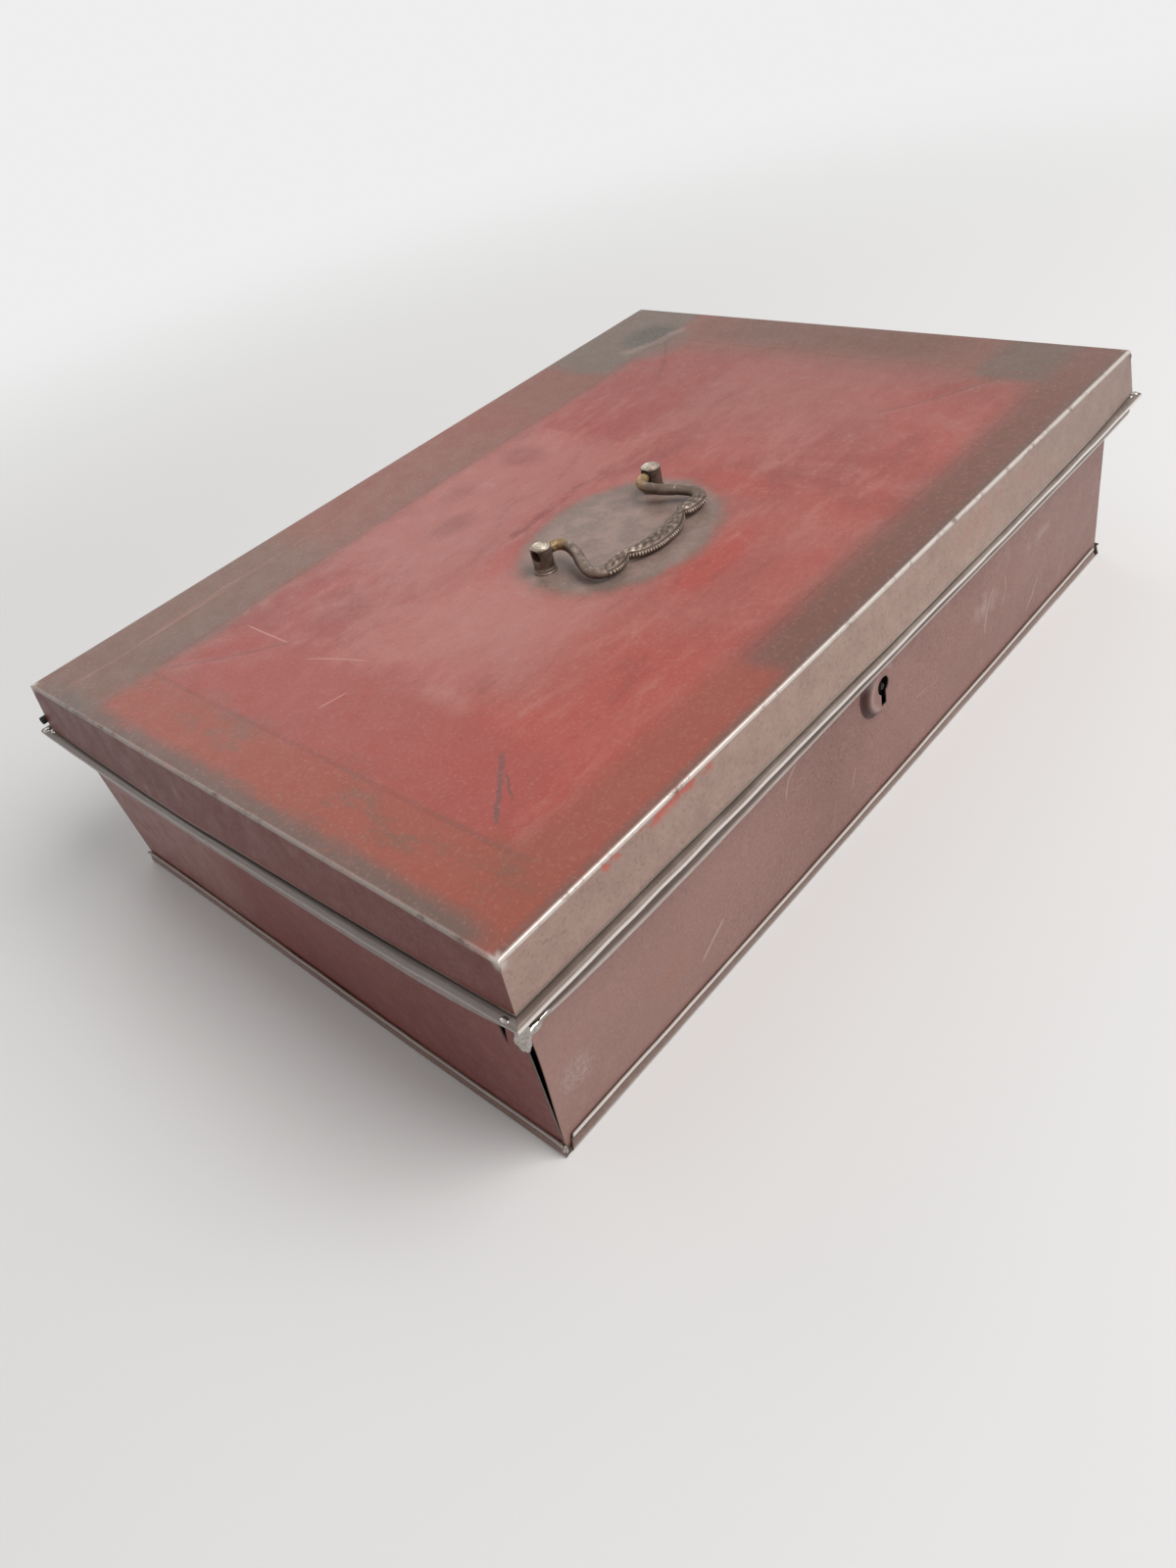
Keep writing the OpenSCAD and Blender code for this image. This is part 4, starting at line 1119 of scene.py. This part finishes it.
def bottom_pan():
    """The floor with its edge turned up round the walls, and hemmed over at the top."""
    points, faces, marks = [], [], {key: [] for key in MARKS}
    for side in SIDES:
        long_side = side in LONG_SIDES
        half_run, half_out = half_sizes(side, WALL_X, WALL_Y)
        # The end flanges are painted duller than the front and back, with less bare tin and weaker
        # highlights, as shade
        bright = 1 if long_side else 0.6
        places = stations_between((-1, 8), (-0.95, 60), (0.95, 8), (1, 0))
        start = len(points)
        for v in places:
            for o, z, bare, wear_and_highlight, painted_shade in PAN_EDGE:
                cut = -PAN_NOTCH - 0.35 * z if long_side else o
                s = v * half_run + signed(cut * max(0, (abs(v) - 0.95) / 0.05), v)
                end = smooth(0.97, 1, abs(v)) * (0 if long_side else 0.3)
                ripple = wave(s, half_out, z, 14, 9) * 0.12 * smooth(1.5, 5, z)
                wall = wall_push(side, s, z, half_run) if side == "front" else 0
                at = half_out + o + ripple + wall + end * smooth(1, 6, z)
                points.append(leant(*placed(side, s, at, z)))
                for key, value in zip(MARKS, (bright * bare, bright * wear_and_highlight, painted_shade)):
                    marks[key].append(value)
        faces += shifted(grid_faces(len(places), len(PAN_EDGE)), start, flip=True)
    start = len(points)
    across, deep = 20, 14
    edge = PAN_EDGE[0][0]
    for i in range(across + 1):
        for k in range(deep + 1):
            x = (WALL_X + edge) * (2 * i / across - 1)
            y = (WALL_Y + edge) * (2 * k / deep - 1)
            points.append(leant(x, y, 0))
            for mark in marks.values():
                mark.append(0)
    faces += shifted(grid_faces(across + 1, deep + 1), start)
    body_skin("bottom_pan", points, faces, marks, PLAIN_PAINT, 0.6, 60)


def lump(points, faces, centre, radii, seed, rough=0.18):
    """Adds one closed rough blob to a list of points and faces."""
    start = len(points)
    work = bmesh.new()
    bmesh.ops.create_icosphere(work, subdivisions=3, radius=1)
    for vertex in work.verts:
        d = vertex.co
        swell = 1 + rough * noise.noise(d * 1.3 + Vector((seed * 3.1, 0, 0)))
        points.append([centre[k] + radii[k] * d[k] * swell for k in range(3)])
    faces += shifted(([v.index for v in f.verts] for f in work.faces), start)
    work.free()


# Section of the hinge barrel's rolled end, from its outside round to its bore: (along, radius)
HINGE_END = [(198, 1.65), (202.4, 1.65), (202.6, 1.5), (202.6, 1.15), (202.4, 1.0), (198, 1.0)]


def hinge_ends():
    """The hinge barrel's rolled ends, which show past the back corners of the lid."""
    points, faces = [], []
    around = 28
    hinge = next(j for j in frame["joints"] if j["name"] == "lid_hinge")
    axis = [v / MM for v in hinge["pos_m"]]
    for side in (-1, 1):
        start = len(points)
        for x, r in HINGE_END:
            for a in circle(around):
                points.append((side * x, axis[1] + r * math.cos(a), axis[2] + r * math.sin(a)))
        last = start + (len(HINGE_END) - 1) * around
        faces += shifted(grid_faces(len(HINGE_END), around, wrap=True), start)
        faces += joined(range(last, last + around), range(start, start + around))
    piece = mesh_piece("hinge_ends", points, faces, "trunk_body", [BLACK_STEEL])
    fix_winding(piece)


def rim_solder():
    """Solder left on the rim at the corners: a big lump at the near one, spots elsewhere."""
    points, faces = [], []
    near = [
        ((-200.3, -141.5, 79.2), (3.4, 1.5, 1.9)), ((-201.2, -140.9, 76.2), (2.5, 1.9, 2.3)),
        ((-201.5, -140.3, 73.0), (2.6, 2.3, 3.0)), ((-201.1, -139.6, 69.6), (2.1, 2.0, 2.8)),
        ((-200.4, -138.4, 66.2), (1.2, 1.4, 2.5)), ((-197.4, -140.5, 72.8), (3.6, 1.4, 1.8)),
        ((-192.8, -140.2, 73.0), (3.6, 1.0, 1.2)), ((-188.6, -139.9, 73.3), (2.6, 0.8, 0.8)),
        ((-203.2, -137.6, 80.7), (1.2, 2.0, 0.8)), ((-195.6, -141.2, 80.6), (2.4, 1.2, 0.7)),
        ((-197.3, -132.3, 2.7), (1.2, 0.7, 2.1)),
    ]
    others = [
        ((202.4, -141.0, 80.6), (2.0, 1.7, 1.0)), ((199.0, -140.6, 80.9), (1.5, 1.2, 0.6)),
        ((-202.6, 140.6, 79.8), (1.8, 1.9, 0.9)), ((-201.4, 137.0, 79.6), (1.3, 2.0, 0.7)),
        ((202.4, 141.0, 80.4), (1.8, 1.6, 0.9)), ((-200.5, 139.0, 76.0), (1.2, 1.0, 2.2)),
        ((200.8, -138.9, 76.2), (1.3, 1.0, 2.6)), ((200.8, 138.9, 76.2), (1.2, 1.0, 2.4)),
    ]
    for i, (centre, radii) in enumerate(near + others):
        lump(points, faces, centre, radii, i)
    piece = mesh_piece("rim_solder", points, faces, "trunk_body", [SOLDER])
    melt = piece.modifiers.new("melt", "REMESH")
    melt.mode = "VOXEL"
    melt.voxel_size = 0.28 * MM
    melt.use_smooth_shade = True
    flow = piece.modifiers.new("flow", "SMOOTH")
    flow.factor = 0.5
    flow.iterations = 9


front_panel()
left_end_panel()
plain_panel("back", "back_panel", HALF_X, 190)
plain_panel("right", "right_end_panel", HALF_Y, 128)
corner_tabs()
bottom_pan()
rim_solder()
hinge_ends()


# Lid


def skirt_point(side, s, t, half_run, half_out):
    """A point of a skirt, t down from the fold: flared, bulged and sagged with its rim."""
    place = along(side, s)
    top = LID_Z - FOLD_R
    v = min(abs(s) / half_run, 1)
    sink = track(SAG[side], place) * SKIRT_SAG * t
    bulge = track(BULGE[side], place) * t ** 1.5
    bulge += wave(s, SEEDS[side] * 13, t * 20, 26, 21) * 0.22 * t * (1 - v ** 14)
    flare = SKIRT_FLARE * t
    reach = s + signed(flare * v ** 8, s)
    at = half_out + flare + bulge
    x, y, z = placed(side, reach, at, top - (top - SKIRT_Z) * t - sink)
    return x, min(y, HALF_Y), z


# Faint creases where the lid's top was cross broken: (start, end, depth)
CREASES = [
    ((-163, 95), (-126, 54), -0.6),
    ((160, -96.5), (118, -63), -0.5),
    ((143, 78.5), (122, 65), 0.45),
    ((-164, -112), (-120, -74), -0.35),
]


def crease_depth(x, y):
    total = 0
    for (x0, y0), (x1, y1), depth in CREASES:
        dx, dy = x1 - x0, y1 - y0
        length = math.hypot(dx, dy)
        u = ((x - x0) * dx + (y - y0) * dy) / length
        side = abs((y - y0) * dx - (x - x0) * dy) / length
        fade = smooth(-8, 4, u) * smooth(length + 10, length * 0.4, u)
        total += depth * fade * math.exp(-((side / 3.2) ** 2))
    return total


def top_wave(x, y):
    """Slow waves and creases in the lid's top, none at its folds or round the handle."""
    edge = min(HALF_X - abs(x), HALF_Y - abs(y))
    handle = math.hypot((x - HANDLE_X) / 1.35, y + 22)
    staple = math.hypot(x - BOSS_X, y + 122)
    soft = smooth(0, 26, edge) * smooth(32, 60, handle) * smooth(22, 42, staple)
    slow = wave(x, y, 3, 82, 7) * 0.75 + wave(x, y, 9, 38, 12) * 0.16
    return (slow - 0.45 + crease_depth(x, y)) * soft


def lid_places(half, fine):
    """Places across the lid's top, closer together at its folds."""
    inner = half - 3
    middle = even(-inner, inner, round(2 * inner / fine)) + [inner]
    return [-half, -half + 0.8, -half + 1.8] + middle + [half - 1.8, half - 0.8, half]


def lid_skin():
    top_x, top_y = HALF_X - FOLD_R, HALF_Y - FOLD_R
    xs, ys = lid_places(top_x, 3.2), lid_places(top_y, 3.2)
    points = [(x, y, LID_Z + top_wave(x, y)) for x in xs for y in ys]
    hem = [0] * len(points)
    rows = len(ys)
    faces = shifted(grid_faces(len(xs), rows), 0, flip=True)
    last_x, last_y = len(xs) - 1, len(ys) - 1
    loop = [("front", i * rows, xs[i]) for i in range(last_x)]
    loop += [("right", last_x * rows + k, ys[k]) for k in range(last_y)]
    loop += [("back", i * rows + last_y, -xs[i]) for i in range(last_x, 0, -1)]
    loop += [("left", k, -ys[k]) for k in range(last_y, 0, -1)]
    previous = [index for _, index, _ in loop]

    def add_row(make, mark):
        nonlocal previous
        row = []
        for side, _, s in loop:
            half_run, half_out = half_sizes(side)
            row.append(len(points))
            points.append(make(side, s, half_run, half_out))
            hem.append(mark)
        faces.extend(joined(previous, row))
        previous = row

    for i in range(1, 6):
        a = math.pi / 2 * (1 - i / 5)

        def folded(side, s, half_run, half_out, a=a):
            reach = s * (half_run - FOLD_R + FOLD_R * math.cos(a)) / (half_run - FOLD_R)
            at = half_out - FOLD_R + FOLD_R * math.cos(a)
            return placed(side, reach, at, LID_Z - FOLD_R + FOLD_R * math.sin(a))

        add_row(folded, 0)
    steps = 14
    for i in range(1, steps + 1):
        t = i / steps

        def hanging(side, s, half_run, half_out, t=t):
            return skirt_point(side, s * half_run / (half_run - FOLD_R), t, half_run, half_out)

        add_row(hanging, t)
    materials = [LID_PAINT, INSIDE_PAINT]
    piece = mesh_piece("lid_skin", points, faces, "lid", materials, {"hem": hem})
    thicken(piece)
    keep_sharp(piece)
    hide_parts("lid_shell")


def lid_solder():
    """The soldered corner seams at the lid's front, painted over."""
    points, faces = [], []
    steps, around = 44, 10
    for side_x in (-1, 1):
        start = len(points)
        for i in range(steps + 1):
            t = i / steps
            z = LID_Z - 1.6 - (LID_Z - 1.9 - SKIRT_Z) * t
            flare = SKIRT_FLARE * t
            x = side_x * (HALF_X + flare - 0.35 - 0.2 * wave(side_x * 9, 0, z, 4, 31))
            y = flare - 0.35 - HALF_Y
            swell = (0.38 + 0.2 * wave(side_x * 5, 3, z, 2.2, 33)) * smooth(0, 0.05, t) * smooth(1, 0.97, t)
            r = max(swell, 0.03)
            points += [(x + r * math.cos(a), y + r * math.sin(a), z) for a in circle(around)]
        faces += tube_faces(steps + 1, around, start)
    piece = mesh_piece("lid_solder", points, faces, "lid", [LID_PAINT])
    fix_winding(piece)


# Handle

# The bail's right half from its root to its middle: (across, forwards, half width)
BAIL_PATH = [
    (POST_X + 0.8, 0, 2.1), (33.0, 0, 2.1), (30.2, 0, 2.1), (29.4, 0, 2.3), (26.9, -0.7, 2.3),
    (25.2, -2.8, 2.3), (25.0, -6, 2.3), (26.9, -11.53, 2.3), (30.3, -17.07, 2.35), (32.7, -22.6, 2.6),
    (32.1, -26.4, 3.0), (28.5, -28.8, 3.3), (23.0, -28.9, 3.5), (19.3, -28.5, 2.9), (17.0, -28.8, 1.6),
    (14.6, -29.7, 2.5), (11.0, -30.9, 3.5), (5.95, -32.1, 4.0), (0, -32.4, 4.1),
]
# Lathe profile of a post above the lid: (radius, height)
POST_PROFILE = [
    (4.78, 0.0), (4.8, 0.2), (4.8, 0.6), (4.62, 0.88), (4.36, 0.98), (4.28, 1.2), (4.5, 1.36), (4.58, 1.6),
    (4.5, 1.86), (4.26, 2.0), (4.1, 2.3), (4.12, 3.4), (4.2, 4.8), (4.2, 9.0), (4.16, 9.3), (3.98, 9.42),
    (3.98, 9.62), (4.18, 9.74), (4.2, 10.1), (4.06, 10.5), (3.76, 10.78), (3.44, 10.88), (3.3, 10.66),
    (3.14, 10.68), (2.98, 11.0), (2.6, 11.24), (2.2, 11.32), (2.06, 11.14), (1.9, 11.16), (1.74, 11.42),
    (1.0, 11.54),
]


def post_points(low):
    """Profile of the whole post, from its riveted end inside the lid up to its crown."""
    inside = LID_Z - SHEET - ROVE
    riveted = [(2.3, low), (2.85, low + 0.25), (3.0, low + 0.7), (2.9, inside - 0.02)]
    return riveted + [(2.0, inside), (2.0, LID_Z)] + [(r, LID_Z + h) for r, h in POST_PROFILE]


def lathe(name, profile, x, y, around, material):
    """A turned solid about a vertical axis, closed at both ends."""
    points = [(x + r * math.cos(a), y + r * math.sin(a), z) for r, z in profile for a in circle(around)]
    faces = grid_faces(len(profile), around, wrap=True)
    low, high = len(points), len(points) + 1
    points += [(x, y, profile[0][1]), (x, y, profile[-1][1] + 0.04)]
    last = (len(profile) - 1) * around
    for k in range(around):
        n = (k + 1) % around
        faces.append((low, n, k))
        faces.append((high, last + k, last + n))
    piece = mesh_piece(name, points, faces, "lid", [material])
    fix_winding(piece)
    return piece


def cross_hole(x, y, outer):
    """A cutter for a post's cross hole, flared at its mouths. Its outer end is at side outer."""
    half = POST_R
    z = LID_Z + PIVOT_HEIGHT
    ends = [(-7, MOUTH_IN_R + 1.6), (-half, MOUTH_IN_R), (-half + MOUTH_DEPTH, HOLE_R)]
    ends += [(half - MOUTH_DEPTH, HOLE_R), (half, MOUTH_OUT_R), (7, MOUTH_OUT_R + 1.6)]
    around = 40
    points = []
    for along_x, r in ends:
        tall = 1.0 if r < MOUTH_IN_R else 1.3
        for a in circle(around):
            points.append((x + outer * along_x, y + r * math.cos(a), z + tall * r * math.sin(a)))
    cutter = link("cutter", mesh_from("cutter", points, tube_faces(len(ends), around)))
    fix_winding(cutter)
    return cutter


def cut(piece, cutter):
    """Cuts one object out of another for good, and removes the cutter."""
    modifier = piece.modifiers.new("cut", "BOOLEAN")
    modifier.operation = "DIFFERENCE"
    modifier.solver = "EXACT"
    modifier.object = cutter
    shaped = piece.evaluated_get(bpy.context.evaluated_depsgraph_get())
    mesh = bpy.data.meshes.new_from_object(shaped)
    piece.modifiers.clear()
    piece.data = mesh
    bpy.data.objects.remove(cutter)


def handle_post(node, outer):
    x, y = HANDLE_X + outer * POST_X, HANDLE_Y
    piece = lathe(node + "_turned", post_points(POST_LOW.z), x, y, 96, CAST_METAL)
    cut(piece, cross_hole(x, y, outer))
    heights = [v.co.z / MM - LID_Z for v in piece.data.vertices]
    rings = [0.36 + 0.4 * smooth(9.9, 11.1, h) + 0.25 * smooth(2.1, 1.5, h) for h in heights]
    set_marks(piece.data, {"relief": rings, "gold": [0] * len(rings)})
    piece.data.shade_smooth()
    keep_sharp(piece, 42)
    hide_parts(node)


def catmull(a, b, c, d, t):
    """A point of the smooth curve from b to c."""
    return tuple(
        0.5 * (2 * q + (r - p) * t + (2 * p - 5 * q + 4 * r - s) * t * t + (3 * q - p - 3 * r + s) * t ** 3)
        for p, q, r, s in zip(a, b, c, d)
    )


def bail_stations():
    """Stations all along the bail, from right to left: (x, y, half width)."""
    knots = BAIL_PATH + [(-x, y, w) for x, y, w in reversed(BAIL_PATH[:-1])]
    stations = []
    for i in range(len(knots) - 1):
        a, d = knots[max(i - 1, 0)], knots[min(i + 2, len(knots) - 1)]
        b, c = knots[i], knots[i + 1]
        count = max(3, round(math.dist(b[:2], c[:2]) / 0.2))
        stations += [catmull(a, b, c, d, k / count) for k in range(count)]
    return stations + [knots[-1]]


def bail_relief(y, length, a):
    """Relief of the casting at an angle round its section, 0 at its outer edge and up at a quarter."""
    across = math.cos(a)
    top = max(0, math.sin(a))
    lobes = smooth(-16, -21, y)
    arms = smooth(-4, -7, y) * (1 - lobes)
    turned = (a + math.pi) % (2 * math.pi) - math.pi

    def ridge(middle, width):
        return math.exp(-(((turned - middle) / width) ** 2))

    beads = 0.5 + 0.5 * math.cos(2 * math.pi * length / 1.15 - 1.6 * turned)
    curl = 0.17 * math.sin(2 * math.pi * length / 8.5)
    scroll = sum(math.exp(-(((across - middle - curl) / 0.07) ** 2)) for middle in (0.3, -0.28))
    leaf = math.cos(2 * math.pi * (length / 3.4 + 0.6 * across)) * smooth(0.7, 0.9, top)
    shape = 0.36 * (beads - 0.3) * ridge(0.2, 0.24) * lobes
    shape -= 0.2 * ridge(0.66, 0.13) * lobes
    shape += 0.18 * (beads - 0.3) * ridge(0.1, 0.24) * arms
    shape += (0.05 * leaf - 0.13 * scroll * (top > 0.1)) * lobes
    shape -= 0.1 * ridge(2.55, 0.12) * lobes
    return shape + 0.1 * (beads - 0.3) * ridge(2.95, 0.25) * lobes


def bail():
    """The cast bail: pins, faceted roots, round arms and flat lobes with a rope edge."""
    stations = bail_stations()
    around = 60
    points, relief, gold = [], [], []
    turn = Euler((BAIL_TILT, 0, 0)).to_matrix()
    pivot = Vector((HANDLE_X, HANDLE_Y, LID_Z + PIVOT_HEIGHT))
    length = 0
    last = len(stations) - 1
    for i, (x, y, w) in enumerate(stations):
        x0, y0, _ = stations[max(i - 1, 0)]
        x1, y1, _ = stations[min(i + 1, last)]
        tangent = Vector((x1 - x0, y1 - y0, 0)).normalized()
        side = Vector((-tangent.y, tangent.x, 0))
        length += math.dist((x, y), (x0, y0))
        mirrored = length if x > 0 else -length
        pin = smooth(29.6, 30.0, abs(x))
        thick = BAIL_THICK + (PIN_R - BAIL_THICK) * pin
        root = smooth(24.2, 25.6, abs(x)) * smooth(-9, -5, y) * (1 - pin)
        end = 1 - 0.25 * smooth(POST_X + 0.4, POST_X + 0.8, abs(x))
        for a in circle(around):
            facet = math.cos(math.fmod(a + math.pi / 8, math.pi / 4) - math.pi / 8)
            ring = 1 - 0.055 * root * (1 - facet) * 12
            shape = bail_relief(y, mirrored, a) * (1 - pin)
            rise = thick * math.sin(a) * ring * end
            if shape > 0 and a > math.pi:
                shape *= 0.3
            out = w * math.cos(a) * ring * end
            local = Vector((x, y, 0)) + side * (out + shape * math.cos(a))
            local += Vector((0, 0, rise + shape * math.sin(a)))
            points.append(pivot + turn @ local)
            relief.append(min(max(0.36 + 2.2 * shape + 0.18 * max(0, math.sin(a)), 0), 1))
            gold.append(root * smooth(-6.5, -3, y))
    faces = tube_faces(len(stations), around)
    marks = {"relief": relief, "gold": gold}
    piece = mesh_piece("bail_cast", points, faces, "bail", [CAST_METAL], marks)
    fix_winding(piece)
    keep_sharp(piece, 60)
    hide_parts("handle_bail")


lid_skin()
lid_solder()
handle_post("handle_post_left", -1)
handle_post("handle_post_right", 1)
bail()

# CAD nodes that stay, with their finishes
KEPT = [
    (BARE_STEEL, ("handle_roves", "hinge_wire", "lid_staple", "lock_plate", "lock_case")),
    (DARK_STEEL, ("hinge_lid_leaf", "hinge_body_leaf", "lever_spring")),
    (LOCK_BRASS, ("lock_rivets", "lock_bolt", "lock_lever", "lock_studs")),
    # The key pin gets the black steel so that it reads as the shade inside the keyhole
    (BLACK_STEEL, ("lock_key_pin",)),
]
for material, nodes in KEPT:
    for node in nodes:
        kept = frame["nodes"][node]
        kept.data.materials.clear()
        kept.data.materials.append(material)


# Floor, lights and camera

PALE = 0.86
FLOOR = 120000


def seen_directly(n):
    """1 for rays that show a background: camera, mirror and glass rays."""
    path = n.add("ShaderNodeLightPath").outputs
    return n.most(path["Is Camera Ray"], path["Is Glossy Ray"], path["Is Transmission Ray"])


def pale_floor():
    """A pale floor whose colour runs evenly out to the background."""
    half = FLOOR / 2
    corners = [(-half, -half, 0), (half, -half, 0), (half, half, 0), (-half, half, 0)]
    floor = link("floor", mesh_from("floor", corners, [(0, 1, 2, 3)]))
    n = Paint("floor")
    length = n.add("ShaderNodeVectorMath", operation="LENGTH")
    n.join(n.place, length.inputs[0])
    far = n.step(length.outputs["Value"], 350, 1200)
    glow = n.add("ShaderNodeEmission")
    glow.inputs["Color"].default_value = (PALE, PALE, PALE, 1)
    blend = n.add("ShaderNodeMixShader")
    n.join(n.times(far, seen_directly(n)), blend.inputs[0])
    n.join(n.shader.outputs["BSDF"], blend.inputs[1])
    n.join(glow.outputs[0], blend.inputs[2])
    n.join(blend.outputs[0], n.out.inputs["Surface"])
    n.finish((0.8, 0.79, 0.78, 1), 0.9, Specular_IOR_Level=0.1)
    floor.data.materials.append(n.material)


def area_light(name, place, target, size, power, colour=(1, 1, 1)):
    data = bpy.data.lights.new(name, "AREA")
    data.shape = "RECTANGLE"
    data.size, data.size_y = size
    data.energy = power
    data.color = colour
    light = link(name, data)
    light.location = place
    light.rotation_euler = (Vector(target) - Vector(place)).to_track_quat("-Z", "Y").to_euler()


def world_light(strength):
    """Even light from all round, with its own level where it is seen as a background."""
    world = bpy.data.worlds.new("studio")
    bpy.context.scene.world = world
    world.use_nodes = True
    n = Nodes(world.node_tree)
    back = n.tree.nodes["Background"]
    back.inputs["Color"].default_value = (1, 1, 1, 1)
    level = n.add("ShaderNodeMapRange")
    n.join(seen_directly(n), level.inputs["Value"])
    level.inputs["To Min"].default_value = strength
    level.inputs["To Max"].default_value = PALE
    n.join(level.outputs["Result"], back.inputs["Strength"])


def camera():
    data = bpy.data.cameras.new("camera")
    data.lens = CAMERA_LENS
    data.sensor_width = FRAME_SENSOR
    data.clip_start = 0.01
    data.clip_end = 200
    view = link("camera", data)
    view.location = CAMERA_PLACE
    view.rotation_euler = Euler([math.radians(a) for a in CAMERA_TURN], "XYZ")
    bpy.context.scene.camera = view


pale_floor()
area_light("key", (0.42, -1.02, 1.45), (0, 0, 0.05), (1.3, 1.3), 25)
area_light("back_fill", (0.3, 1.5, 1.1), (0, 0, 0.05), (1.6, 1.0), 5)
world_light(0.4)
camera()
bpy.context.scene.view_settings.view_transform = "Standard"
